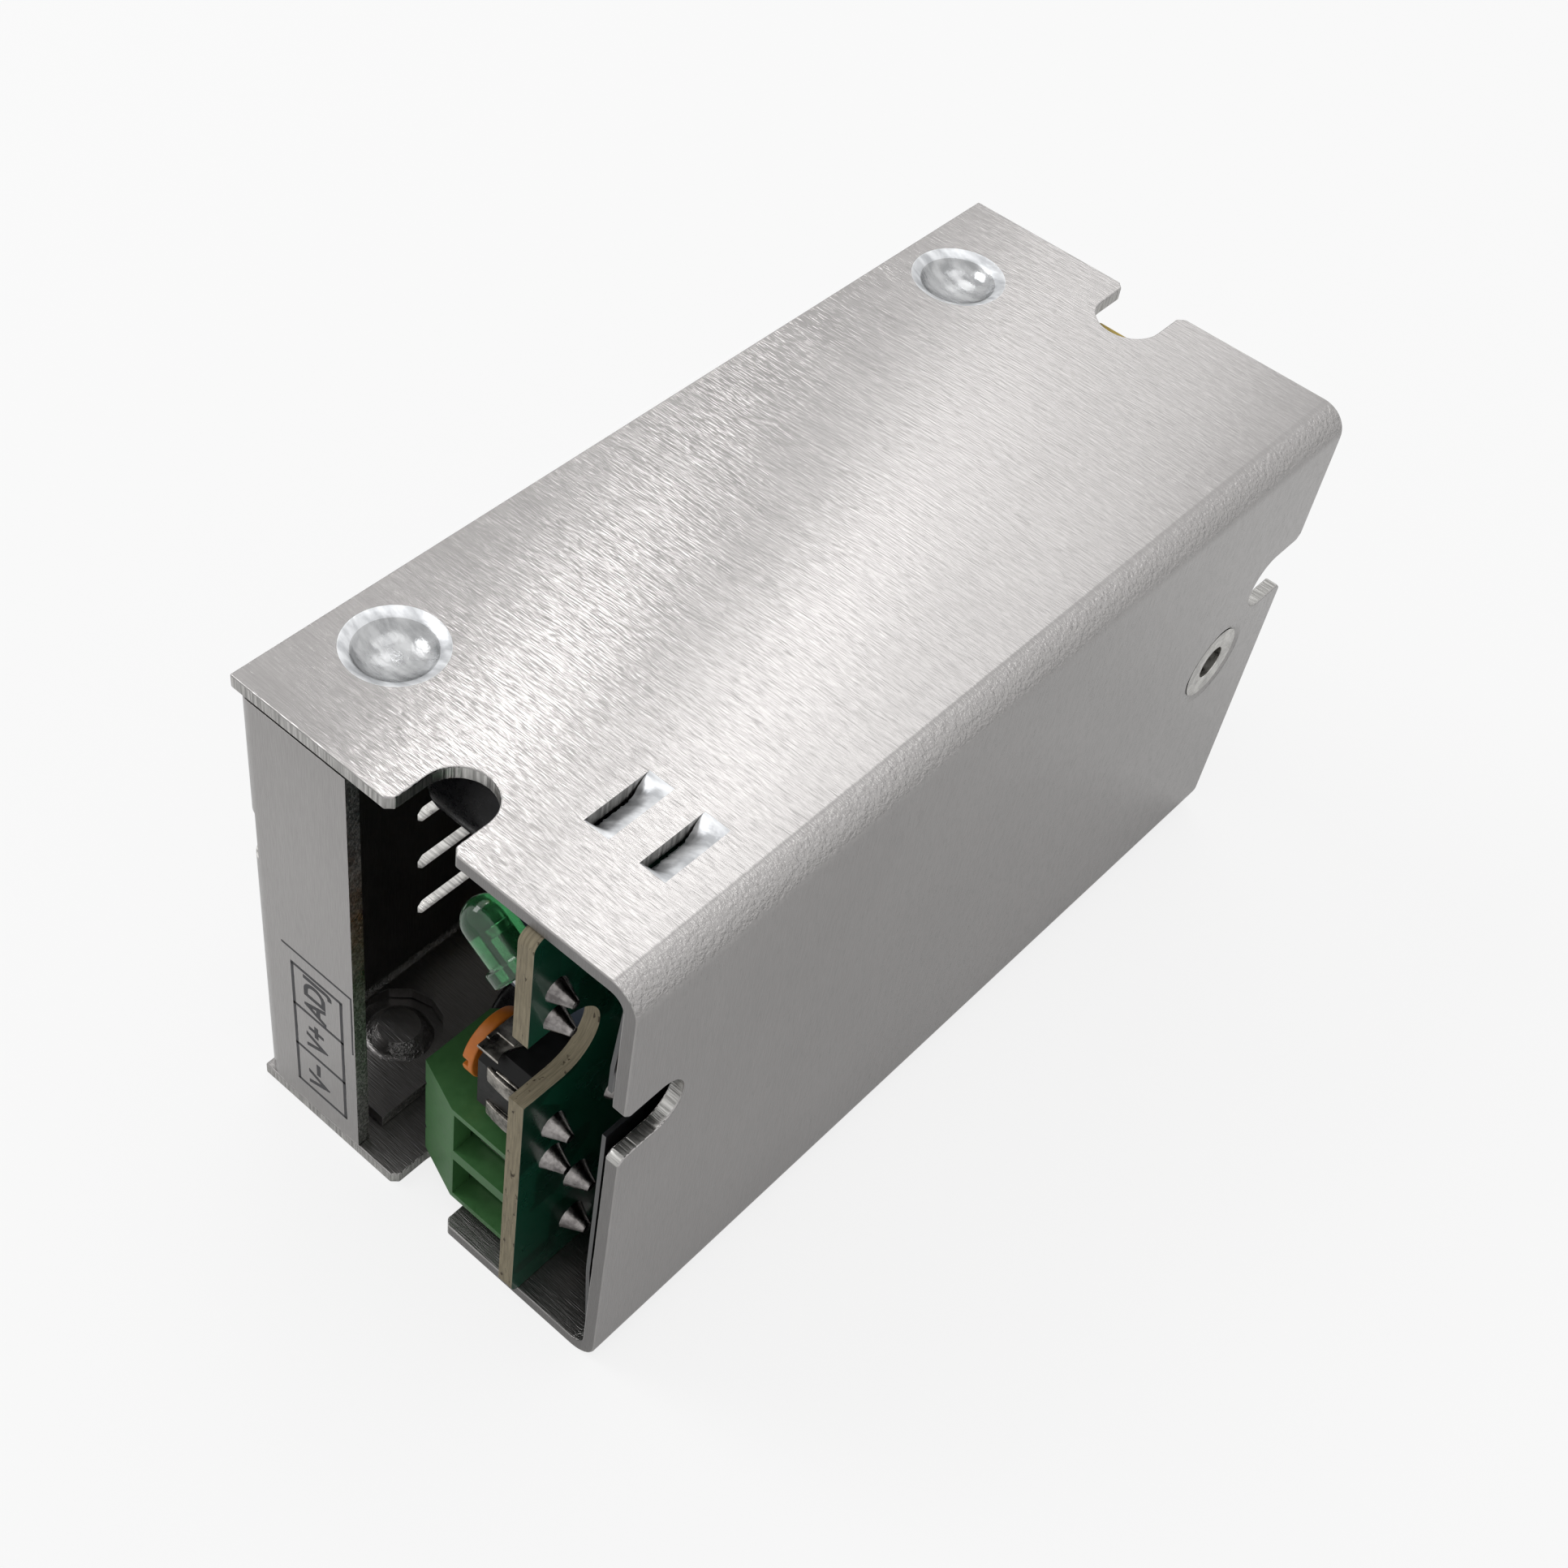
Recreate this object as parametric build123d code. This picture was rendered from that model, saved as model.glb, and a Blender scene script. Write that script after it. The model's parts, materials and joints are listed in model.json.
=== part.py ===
from build123d import *
from math import asin, atan, cos, degrees, radians, sin
import os

# Enclosed switching power supply: a folded aluminium channel with a clipped cover, holding one
# circuit board. It stands on a long side wall. X runs along the unit from the output end to the
# input end, Y from the base plate to the cover and Z across the unit, up from the floor.
# All sizes are in millimetres.

# Case
case_length = 68.8
case_height = 31.0
case_width = 39.0
sheet = 1.0
case_bend_r = 2.0
cover_bend_r = 1.5
cover_fit = 0.1
cover_skirt = 9.3
skirt_end_gap = 2.2

# Fixing notches, open to both ends of the case
wall_notch_w = 4.6
wall_notch_y = 0.4
base_notch_w = 4.2
notch_depth = 5.1
notch_lip_r = 0.45
fixing_share = 2 / 3
cover_notch_depth = 5.6
board_notch_w = 6.0
board_notch_depth = 6.0
board_notch_shift = 0.4

# Snap dimples pressed into the side walls, and the holes in the cover skirt that they catch
dimple_inset = 8.2
dimple_y = 11.0
dimple_rim_r = 3.25
dimple_bowl_r = 2.35
dimple_bulge_r = 2.9
dimple_rim_depth = 0.3
dimple_depth = 1.35
dimple_wall = 0.7
dimple_crown_r = 1.5
snap_clearance = 0.15

# Lances pressed inward at the output end, which hold the board's edges between them
lance_inset = 9.2
lance_length = 5.2
lance_width = 1.85
lance_rise = 1.4
lance_end_slope = 1.1
lance_wall = 0.8
lance_skin = 0.35
lance_foot = 0.01
lance_knee_reach = 0.45
lance_knee_rise = 0.72
guide_clearance = 0.15
guide_gap = 0.5

# Vents and screwdriver openings in the cover
vent_length = 12.0
vent_width = 1.4
vent_pitch_x = 15.1
vent_pitch_z = 4.9
vent_columns = 3
vent_rows = 6
vent_corner = 0.4
driver_slot_w = 4.6
trimmer_hole_r = 2.3

# Board, its pillar and the insulating film behind it
board_sheet = 1.2
board_overhang = 0.6
board_edge_gap = 0.1
board_corner_r = 0.8
pillar_height = 5.7
pillar_r = 2.5
pillar_neck_r = 1.9
pillar_rim_r = 2.8
pillar_inset = 7.4
pillar_gap = 0.56
rim_lift = 0.1
seat_recess_r = 3.25
seat_recess_depth = 0.45
seat_clearance = 0.05
thread_bore_r = 1.25
screw_shank_r = 1.2
screw_head_r = 2.7
screw_head_h = 1.8
screw_length = 5.0
screw_head_chamfer = 0.6
cross_length = 3.0
cross_width = 0.6
cross_depth = 0.9
screw_hole_r = 1.6
film_sheet = 0.3
film_end_gap = 0.8
film_side_gap = 1.5
film_lift = 0.2
film_bow = 0.5
film_flat = 22.0
film_hole_clearance = 0.1
film_notch_gap = 0.1

# Leads are drawn square, solder as a short six-sided cone and clearance holes with flat sides
lead_w = 0.6
fine_lead_w = 0.45
terminal_pin_w = 0.8
lead_hole_clearance = 0.05
solder_r = 1.05
solder_margin = 0.6
solder_height = 1.5
solder_sides = 6
bore_sides = 12

# Screw terminals with rising clamps
way_pitch = 5.08
terminal_setback = 1.2
terminal_depth = 7.6
terminal_height = 10.1
terminal_face_height = 6.3
terminal_chamfer = 1.4
terminal_back_chamfer = 0.5
terminal_brow = 0.2
terminal_wall_gap = 0.2
terminal_rib = 1.0
terminal_floor = 0.5
terminal_back_wall = 1.0
terminal_seat_height = 8.35
terminal_web = 0.75
clamp_screw_x = 3.4
clamp_screw_r = 1.25
clamp_head_r = 1.9
clamp_head_h = 1.2
clamp_slot_w = 0.6
clamp_slot_depth = 0.6
shank_overlap = 0.2
well_clearance = 0.1
running_clearance = 0.05
clamp_depth = 3.4
clamp_side_gap = 0.19
clamp_wall = 0.45
clamp_floor = 0.5
clamp_top = 1.0
clamp_height = 4.4
clamp_rest_gap = 0.45
contact_sheet = 0.35
contact_width = 2.0
contact_height = 3.75
contact_back = 2.2
output_ways = 2
input_ways = 3

# Output voltage trimmer
trimmer_gap = 0.64
trimmer_setback = 1.9
trimmer_depth = 5.5
trimmer_width = 6.2
trimmer_foot = 0.5
trimmer_body_h = 4.4
trimmer_corner = 0.9
trimmer_leg_pitch = 3.5
trimmer_leg_w = 1.2
trimmer_leg_reach = 3.0
trimmer_sheet = 0.3
trimmer_tab = 1.7
trimmer_tab_w = 2.4
trimmer_pin_w = 0.6
trimmer_skirt = 0.8
trimmer_plate_gap = 0.3
rotor_r = 2.45
rotor_disc_h = 0.9
rotor_lift = 0.8
rotor_hub_r = 1.3
rotor_hub_depth = 1.6
rotor_slot_w = 0.7
rotor_slot_depth = 0.5

# Indicator lamp, leaning towards the upper side wall
lamp_setback = 1.4
lamp_rise = 5.0
lamp_r = 1.5
lamp_flange_r = 1.9
lamp_flange_h = 1.0
lamp_length = 5.3
lamp_shoulder = 0.75
lamp_crown_r = 0.8
lamp_lead_pitch = 2.54
lamp_lead_rise = 0.5
lamp_lead_lean = 0.9
lamp_tilt = 32.0

# Components of the board
part_gap = 1.0
wall_gap = 0.4
body_lift = 0.2
can_crimp = 0.4
can_neck_height = 1.6
can_rim = 0.45
output_can_r = 4.0
output_can_h = 14.0
second_can_h = 12.0
output_can_pitch = 3.5
output_can_setback = 10.2
bias_can_r = 2.5
bias_can_h = 11.0
bias_can_pitch = 2.0
bulk_can_r = 5.0
bulk_can_h = 18.0
bulk_can_pitch = 5.0
axial_lift = 0.3
load_resistor_r = 0.95
load_resistor_length = 3.6
load_resistor_pitch = 5.08
rectifier_r = 2.6
rectifier_length = 8.0
rectifier_pitch = 10.2
snubber_r = 1.7
snubber_length = 6.8
snubber_pitch = 8.8
fuse_r = 1.8
fuse_length = 7.4
fuse_pitch = 9.0
moulded_chamfer = 0.4
film_body_x = 3.0
film_body_z = 7.2
film_body_h = 7.0
film_body_pitch = 5.0
line_body_x = 13.0
line_body_z = 5.0
line_body_h = 11.0
line_body_pitch = 10.0
bridge_x = 9.6
bridge_z = 3.4
bridge_h = 8.5
bridge_lift = 1.0
bridge_pitch = 2.54
bridge_pins = 4
disc_lead_height = 0.9
disc_t = 3.0
bridging_disc_r = 3.8
bridging_disc_pitch = 7.0
thermistor_r = 3.4
thermistor_pitch = 5.0
chip_width = 6.4
chip_h = 3.4
chip_lift = 0.6
chip_row_pitch = 7.62
chip_pin_pitch = 2.54
chip_shoulder_w = 1.0
chip_shoulder_t = 0.3
chip_corner = 0.25
opto_length = 4.6
opto_pins = 2
controller_length = 9.4
controller_pins = 4

# Output inductor: a wound block in a shrink sleeve that is open to the output end
inductor_length = 9.0
inductor_height = 9.7
inductor_width = 4.0
inductor_setback = 10.9
inductor_gap = 0.2
inductor_corner_r = 0.9
sleeve_wall = 0.45
sleeve_mouth_length = 4.6
sleeve_mouth_width = 1.3
inductor_pitch = 5.4

# Transformer: two E cores around a moulded bobbin with a taped winding
transformer_shift_z = 0.6
transformer_lift = 7.0
core_length = 16.0
core_width = 19.0
core_height = 5.0
core_leg = 2.7
core_centre_leg = 4.8
core_gap = 0.1
core_corner = 0.8
core_fit = 0.1
bobbin_wall = 0.7
bobbin_flange = 0.8
bobbin_end_gap = 0.1
bobbin_side_gap = 0.15
flange_rim = 0.4
winding_height = 10.6
winding_side_gap = 0.4
winding_corner_r = 1.8
rail_height = 1.6
rail_lift = 0.4
rail_end_gap = 1.5
transformer_pin_pitch = 3.2
transformer_pins = 4
transformer_pin_height = 0.8

# Line choke: a ferrite ring on edge with two windings
choke_ring_r = 3.7
choke_bore_r = 1.9
choke_ring_w = 3.0
choke_wire = 0.6
choke_lift = 5.2
choke_drop = 1.6
choke_lead_z = 2.6
choke_lead_height = 4.0
choke_winding_spread = 0.8

# Values worked out from the sizes above
end_x = case_length / 2
base_y = -case_height / 2
cover_y = case_height / 2
floor_y = base_y + sheet
ceiling_y = cover_y - sheet
mid_z = case_width / 2
solder_face = floor_y + pillar_height
board_face = solder_face + board_sheet
board_end = end_x + board_overhang
pillar_x = end_x - pillar_inset
fixing_z = case_width * fixing_share
board_notch_z = fixing_z - board_notch_shift
lamp_z = fixing_z + lamp_rise
BASE = (Align.CENTER, Align.CENTER, Align.MIN)
CENTRE_PLANE = Plane(origin=(0, 0, mid_z), z_dir=(0, 0, 1))
lead_sites = []

# Layout of the board. Each part stands beside its neighbours, clear of the cover's two skirts.
low_z = 2 * sheet + cover_fit
high_z = case_width - low_z
part_low = low_z + wall_gap
part_high = high_z - wall_gap
terminal_back_x = end_x - terminal_setback - terminal_depth
terminal_low = low_z + terminal_wall_gap
pillar_z = terminal_low + input_ways * way_pitch + pillar_gap + screw_head_r
trimmer_z = terminal_low + output_ways * way_pitch + trimmer_gap + trimmer_width / 2 + trimmer_sheet
inductor_x = -end_x + inductor_setback
inductor_z = trimmer_z + trimmer_width / 2 + trimmer_sheet + inductor_gap + inductor_width / 2
output_can_x = -end_x + output_can_setback
second_can_x = -terminal_back_x + part_gap + output_can_r
bias_can_x = second_can_x + output_can_r + part_gap + bias_can_r
rectifier_x = -terminal_back_x + wall_gap + rectifier_pitch / 2
rectifier_z = inductor_z - inductor_width / 2 - part_gap - rectifier_r
film_body_place_x = output_can_x + output_can_r + part_gap + film_body_x / 2
load_resistor_x = film_body_place_x + (film_body_x + load_resistor_pitch + lead_w) / 2 + part_gap
load_resistor_z = part_high - disc_t - part_gap - load_resistor_r
line_body_place_x = end_x - sheet - wall_gap - line_body_x / 2
line_body_place_z = part_high - line_body_z / 2
bulk_can_x = line_body_place_x - line_body_x / 2 - part_gap - bulk_can_r
thermistor_x = bulk_can_x + bulk_can_r + part_gap + thermistor_r
thermistor_z = line_body_place_z - line_body_z / 2 - part_gap - disc_t / 2
transformer_x = (rectifier_x + (rectifier_pitch + lead_w) / 2 + bulk_can_x - bulk_can_r) / 2
transformer_z = mid_z + transformer_shift_z
choke_x = pillar_x - screw_head_r - part_gap - choke_wire - choke_ring_w / 2
choke_z = pillar_z - choke_drop
fuse_x = terminal_back_x - part_gap - (fuse_pitch + lead_w) / 2
fuse_z = part_low + fuse_r
bridge_place_x = terminal_back_x - part_gap - bridge_x / 2
bridge_place_z = fuse_z + fuse_r + part_gap + bridge_z / 2
controller_x = fuse_x - (fuse_pitch + lead_w + chip_row_pitch + fine_lead_w) / 2 - part_gap
controller_z = part_low + controller_length / 2
snubber_x = transformer_x + core_length / 2 + part_gap + (snubber_pitch + lead_w) / 2
snubber_z = controller_z + controller_length / 2 + part_gap + snubber_r


def block(x0, x1, y0, y1, z0, z1):
    """A box between two corners."""
    return Pos((x0 + x1) / 2, (y0 + y1) / 2, (z0 + z1) / 2) * Box(x1 - x0, y1 - y0, z1 - z0)


def on_board(x, z, height=0.0):
    """A frame on the board's component face, with its own z pointing away from the board."""
    return Location(Plane(origin=(x, board_face + height, z), x_dir=(1, 0, 0), z_dir=(0, 1, 0)))


def both_walls(solid):
    """A feature of the lower side wall together with its mirror image in the upper one."""
    return [solid, mirror(solid, about=CENTRE_PLANE)]


def both_ends(solid):
    """A feature of the output end together with its mirror image at the input end."""
    return [solid, mirror(solid, about=Plane.YZ)]


def along_y(sketch, y0, y1):
    """A sketch drawn in X and Z, extruded from y0 to y1."""
    plane = Plane(origin=(0, y1, 0), x_dir=(1, 0, 0), z_dir=(0, -1, 0))
    return extrude(plane * sketch, amount=y1 - y0)


def bore(radius):
    """The outline of a flat-sided hole that clears a given radius."""
    return RegularPolygon(radius, bore_sides, major_radius=False)


def open_notch(edge, depth, width, across):
    """The outline of a round-ended notch that opens at x = edge, centred on y = across."""
    run = 3.0
    radius = width / 2
    slot = Pos(edge + (depth - radius - run) / 2, across) * Rectangle(depth - radius + run, width)
    return slot + Pos(edge + depth - radius, across) * Circle(radius)


def lip(edge, across, width):
    """The small triangles that ease the two corners at a notch's mouth."""
    outline = Sketch()
    for side in (-1, 1):
        corner = across + side * width / 2
        outline += make_face(Polyline((edge, corner), (edge + notch_lip_r, corner),
                                      (edge, corner + side * notch_lip_r), close=True))
    return outline


def base_case():
    """The folded channel: base plate, two side walls, notches, dimples and lances."""
    profile = Rectangle(case_height, case_width)
    profile -= Pos(sheet, 0) * Rectangle(case_height, case_width - 2 * sheet)
    outer = profile.vertices().sort_by(Axis.X)[:2]
    profile = fillet(outer, case_bend_r)
    inner = [v for v in profile.vertices() if abs(v.X - (floor_y)) < 0.01]
    profile = fillet(inner, case_bend_r - sheet)
    profile = Pos(0, mid_z) * profile
    case = extrude(Plane.YZ * profile, amount=end_x, both=True)

    wall_notch = open_notch(-end_x, notch_depth, wall_notch_w, wall_notch_y)
    wall_notch += lip(-end_x, wall_notch_y, wall_notch_w)
    for cut in both_walls(extrude(wall_notch, amount=2 * sheet)):
        case -= both_ends(cut)

    base_notch = open_notch(-end_x, notch_depth, base_notch_w, fixing_z)
    base_notch += lip(-end_x, fixing_z, base_notch_w)
    case -= both_ends(along_y(base_notch, base_y, floor_y + sheet))

    for side in (-1, 1):
        bulge, bowl = dimple(side * (end_x - dimple_inset), dimple_y)
        case += both_walls(bulge)
        case -= both_walls(bowl)

    upper_root = board_face + guide_clearance + lance_skin
    lower_cut = solder_face - guide_gap
    for root in (upper_root, lower_cut - lance_width):
        bulge, hollow = lance(-end_x + lance_inset, root)
        case += both_walls(bulge)
        case -= both_walls(hollow)

    seat = Pos(pillar_x, 0, pillar_z) * Rot(90, 0, 0) * Pos(0, 0, -floor_y)
    case -= seat * Cylinder(pillar_neck_r + seat_clearance, sheet, align=BASE)
    recess = Cone(pillar_neck_r + seat_clearance, seat_recess_r, seat_recess_depth, align=BASE)
    case -= seat * Pos(0, 0, sheet - seat_recess_depth) * recess
    return case


def cap_arc(radius, edge, apex):
    """An arc about the axis, from (radius, edge) to the pole at (0, apex)."""
    rise = apex - edge
    ball_r = (radius ** 2 + rise ** 2) / (2 * rise)
    half = asin(radius / ball_r) / 2
    mid = (ball_r * sin(half), apex - ball_r * (1 - cos(half)))
    return ThreePointArc((radius, edge), mid, (0, apex))


def dimple(x, y):
    """A round dimple pressed into the lower side wall: the bulge inside and the bowl outside."""
    bowl_outline = (
        Polyline((0, dimple_depth), (0, 0), (dimple_rim_r, 0), (dimple_bowl_r, dimple_rim_depth))
        + cap_arc(dimple_bowl_r, dimple_rim_depth, dimple_depth)
    )
    bowl = revolve(Plane.XZ * make_face(bowl_outline), axis=Axis.Z)
    bulge_height = dimple_depth + dimple_wall - sheet / 2
    bulge = Pos(0, 0, sheet / 2) * Cone(dimple_bulge_r, dimple_crown_r, bulge_height, align=BASE)
    return Pos(x, y, 0) * bulge, Pos(x, y, 0) * bowl


def lance(x, root):
    """A lance in the lower side wall. It is sheared open along y = root + lance_width."""
    cut = root + lance_width

    def wedge(skin, rise, start):
        knee = (root - skin + lance_width * lance_knee_reach, start + (rise - start) * lance_knee_rise)
        slope = ThreePointArc((cut, rise), knee, (root - skin, start))
        outline = slope + Line((root - skin, start), (root - skin, 0)) + Line((root - skin, 0), (cut, 0))
        outline += Line((cut, 0), (cut, rise))
        side_view = extrude(Plane.YZ * make_face(outline), amount=lance_length, both=True)
        half = lance_length / 2 + skin
        crown = half - lance_end_slope
        front = make_face(Polyline((-half, 0), (half, 0), (half, start), (crown, rise),
                                   (-crown, rise), (-half, start), close=True))
        front_view = along_y(front, root - 1, cut)
        return Pos(x, 0, 0) * (side_view & front_view)

    return wedge(lance_skin, lance_rise + lance_wall, sheet), wedge(0, lance_rise, lance_foot)


def terminal_way_z(way):
    return terminal_low + (way + 0.5) * way_pitch


def cover():
    """The clipped cover: plate, two end flanges and two side skirts, all folded from one sheet."""
    z0 = sheet + cover_fit
    z1 = case_width - z0
    skirt_y = cover_y - cover_skirt
    outer = block(-end_x, end_x, skirt_y, cover_y, z0, z1)
    outer = fillet(outer.faces().sort_by(Axis.Y)[-1].edges(), cover_bend_r)
    inner = block(-end_x + sheet, end_x - sheet, skirt_y - 1, ceiling_y, z0 + sheet, z1 - sheet)
    inner = fillet(inner.faces().sort_by(Axis.Y)[-1].edges(), cover_bend_r - sheet)
    shell = outer - inner

    gap = block(-end_x + sheet, -end_x + skirt_end_gap, skirt_y - 1, ceiling_y - cover_bend_r,
                0, z0 + sheet)
    for cut in both_walls(gap):
        shell -= both_ends(cut)

    snap = extrude(bore(dimple_bulge_r + snap_clearance), amount=z0 + sheet)
    for side in (-1, 1):
        shell -= both_walls(Pos(side * (end_x - dimple_inset), dimple_y, 0) * snap)

    holes = open_notch(-end_x, cover_notch_depth, base_notch_w, fixing_z)
    shell -= both_ends(along_y(holes, ceiling_y - 0.1, cover_y + 1))

    vent = Rectangle(vent_length, vent_width)
    vent = chamfer(vent.vertices(), vent_corner)
    vents = Sketch()
    for column in range(vent_columns):
        for row in range(vent_rows):
            x = (column - (vent_columns - 1) / 2) * vent_pitch_x
            z = mid_z + (row - (vent_rows - 1) / 2) * vent_pitch_z
            vents += Pos(x, z) * vent
    screw_x = -end_x + terminal_setback + clamp_screw_x
    for ways, x in ((output_ways, screw_x), (input_ways, -screw_x)):
        span = (ways - 1) * way_pitch
        centre = terminal_way_z(0) + span / 2
        vents += Pos(x, centre) * Rot(0, 0, 90) * SlotCenterToCenter(span, driver_slot_w)
    vents += Pos(trimmer_x(), trimmer_z) * bore(trimmer_hole_r)
    return shell - along_y(vents, ceiling_y - 1, cover_y + 1)


def insulating_film():
    """A clear film that rests on the channel's two inner bends, folded away from its base."""
    z0 = film_side_gap
    z1 = case_width - film_side_gap
    y = floor_y + film_lift
    za, zb = mid_z - film_flat / 2, mid_z + film_flat / 2
    far = y + film_bow
    outline = Polyline((y, z0), (far, za), (far, zb), (y, z1), (y + film_sheet, z1), (far + film_sheet, zb),
                       (far + film_sheet, za), (y + film_sheet, z0), close=True)
    film = extrude(Plane.YZ * make_face(outline), amount=end_x - film_end_gap, both=True)
    notch = open_notch(-end_x + film_end_gap, notch_depth - film_end_gap + film_notch_gap,
                       base_notch_w + 2 * film_notch_gap, fixing_z)
    film -= both_ends(along_y(notch, base_y, solder_face))
    hole = Pos(pillar_x, pillar_z) * bore(pillar_r + film_hole_clearance)
    return film - along_y(hole, base_y, solder_face)


def board_pillar():
    """The threaded pillar, swaged into the recessed hole of the base plate."""
    rim_start = sheet - seat_recess_depth
    rim_end = sheet - rim_lift
    outline = Polyline((thread_bore_r, rim_end), (pillar_rim_r, rim_end),
                       (pillar_neck_r, rim_start), (pillar_neck_r, 0), (pillar_r, 0),
                       (pillar_r, -pillar_height), (thread_bore_r, -pillar_height), close=True)
    pillar = revolve(Plane.XZ * make_face(outline), axis=Axis.Z)
    return Pos(pillar_x, floor_y, pillar_z) * Rot(90, 0, 0) * pillar


def board_screw():
    """The pan-head screw that holds the board on the pillar."""
    head = Cylinder(screw_head_r, screw_head_h, align=BASE)
    head = chamfer(head.edges().sort_by(Axis.Z)[-1], screw_head_chamfer)
    cross = Box(cross_length, cross_width, 2 * cross_depth) + Box(cross_width, cross_length, 2 * cross_depth)
    head -= Pos(0, 0, screw_head_h) * cross
    shank = extrude(RegularPolygon(screw_shank_r, bore_sides), amount=screw_length)
    return on_board(pillar_x, pillar_z) * (head + Pos(0, 0, -screw_length) * shank)


def lead(x, z, height, width=lead_w):
    """A lead from the solder face up to the given height above the board."""
    lead_sites.append((x, z, width))
    return on_board(x, z, -board_sheet) * Box(width, width, board_sheet + height, align=BASE)


def wire(points, width):
    """A square wire along straight runs that start up the Y axis, mitred at its corners."""
    path = Polyline(*points)
    section = Plane(origin=points[0], x_dir=(1, 0, 0), z_dir=(0, 1, 0)) * Rectangle(width, width)
    return sweep(section, path=path, transition=Transition.RIGHT)


def terminal_x(offset):
    """A distance behind the terminal's front face, at the output end."""
    return -end_x + terminal_setback + offset


def terminal_housing(ways):
    """The moulded housing, with a wire entry, a clamp shaft and a screw well for each way."""
    front = terminal_x(0)
    back = terminal_x(terminal_depth)
    top = board_face + terminal_height
    outline = Polyline((front, board_face), (front, board_face + terminal_face_height),
                       (front + terminal_chamfer, top), (back - terminal_back_chamfer, top),
                       (back, top - terminal_back_chamfer),
                       (back, board_face), close=True)
    z0 = terminal_way_z(0) - way_pitch / 2
    housing = Pos(0, 0, z0) * extrude(make_face(outline), amount=ways * way_pitch)
    half = (way_pitch - terminal_rib) / 2
    shaft_half = clamp_depth / 2 + clamp_side_gap
    shaft_top = board_face + terminal_seat_height - terminal_web
    for way in range(ways):
        z = terminal_way_z(way)
        x = terminal_x(clamp_screw_x)
        floor = board_face + terminal_floor
        housing -= block(front - 1, back - terminal_back_wall, floor,
                         board_face + terminal_face_height - terminal_brow, z - half, z + half)
        housing -= block(x - shaft_half, x + shaft_half, floor, shaft_top, z - half, z + half)
        stand = on_board(x, z)
        shank_hole = extrude(bore(clamp_screw_r + running_clearance), amount=terminal_height)
        housing -= stand * Pos(0, 0, shaft_top - board_face) * shank_hole
        well = extrude(bore(clamp_head_r + well_clearance), amount=terminal_height)
        housing -= stand * Pos(0, 0, terminal_seat_height) * well
        pin_hole = terminal_pin_w + 2 * lead_hole_clearance
        housing -= stand * Box(pin_hole, pin_hole, terminal_floor, align=BASE)
    return housing


def terminal_screw(way):
    """The slotted clamp screw of one way, captive in its well."""
    tip = contact_height + contact_sheet + running_clearance
    head_base = terminal_seat_height + running_clearance
    shank = RegularPolygon(clamp_screw_r, bore_sides)
    screw = Pos(0, 0, tip) * extrude(shank, amount=head_base - tip + shank_overlap)
    head = Cylinder(clamp_head_r, clamp_head_h, align=BASE)
    head -= Pos(0, 0, clamp_head_h) * Box(2 * clamp_head_r, clamp_slot_w, 2 * clamp_slot_depth)
    screw += Pos(0, 0, head_base) * head
    return on_board(terminal_x(clamp_screw_x), terminal_way_z(way)) * screw


def clamp_bottom():
    return terminal_floor + clamp_rest_gap


def terminal_clamp(way):
    """The rising cage of one way, shown open."""
    width = way_pitch - terminal_rib - 2 * clamp_side_gap
    cage = Box(clamp_depth, width, clamp_height, align=BASE)
    window_h = clamp_height - clamp_floor - clamp_top
    cage -= Pos(0, 0, clamp_floor) * Box(clamp_depth + 1, width - 2 * clamp_wall, window_h, align=BASE)
    cage -= Pos(0, 0, clamp_floor) * extrude(bore(clamp_screw_r + running_clearance), amount=clamp_height)
    place = on_board(terminal_x(clamp_screw_x), terminal_way_z(way), clamp_bottom())
    return place * cage


def terminal_contacts(ways):
    """The fixed contact strips. Each passes under, behind and through its clamp to a board pin."""
    strips = []
    x = terminal_x(clamp_screw_x)
    floor = board_face + terminal_floor
    plate = board_face + contact_height
    half = contact_width / 2
    for way in range(ways):
        z = terminal_way_z(way)
        strip = block(x - half, x + contact_back + contact_sheet, floor, floor + contact_sheet,
                      z - half, z + half)
        strip += block(x + contact_back, x + contact_back + contact_sheet, floor,
                       plate + contact_sheet, z - half, z + half)
        strip += block(x - clamp_depth / 2, x + contact_back + contact_sheet, plate,
                       plate + contact_sheet, z - half, z + half)
        pin = Box(terminal_pin_w, terminal_pin_w, board_sheet + terminal_floor, align=BASE)
        pin = on_board(x, z, -board_sheet) * pin
        strips.append(strip + pin)
    return strips


def register_terminal_pins(ways, end):
    for way in range(ways):
        lead_sites.append((end * terminal_x(clamp_screw_x), terminal_way_z(way), terminal_pin_w))


def trimmer_x():
    return -end_x + trimmer_setback + trimmer_depth / 2


def trimmer_leg_places():
    """The two end legs, as (x, y) in the trimmer's own frame."""
    front = -(trimmer_depth - trimmer_sheet) / 2
    return [(front, side * trimmer_leg_pitch / 2) for side in (-1, 1)]


def trimmer_body():
    """The moulded trimmer base, with slots for its legs and a bore for the rotor's hub."""
    body = Box(trimmer_depth, trimmer_width, trimmer_body_h, align=BASE)
    body = chamfer(body.edges().filter_by(Axis.Z), trimmer_corner)
    for x, y in trimmer_leg_places():
        slot = Box(trimmer_sheet, trimmer_leg_w + lead_hole_clearance, trimmer_leg_reach, align=BASE)
        body -= Pos(x, y, 0) * slot
    bore_depth = rotor_hub_depth + running_clearance
    bore = Cylinder(rotor_hub_r + running_clearance, bore_depth, align=BASE)
    body -= Pos(0, 0, trimmer_body_h - bore_depth) * bore
    hollow = Box(trimmer_depth - 2 * trimmer_skirt, trimmer_width - 2 * trimmer_skirt, trimmer_skirt, align=BASE)
    return on_board(trimmer_x(), trimmer_z, trimmer_foot) * (body - hollow)


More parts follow.
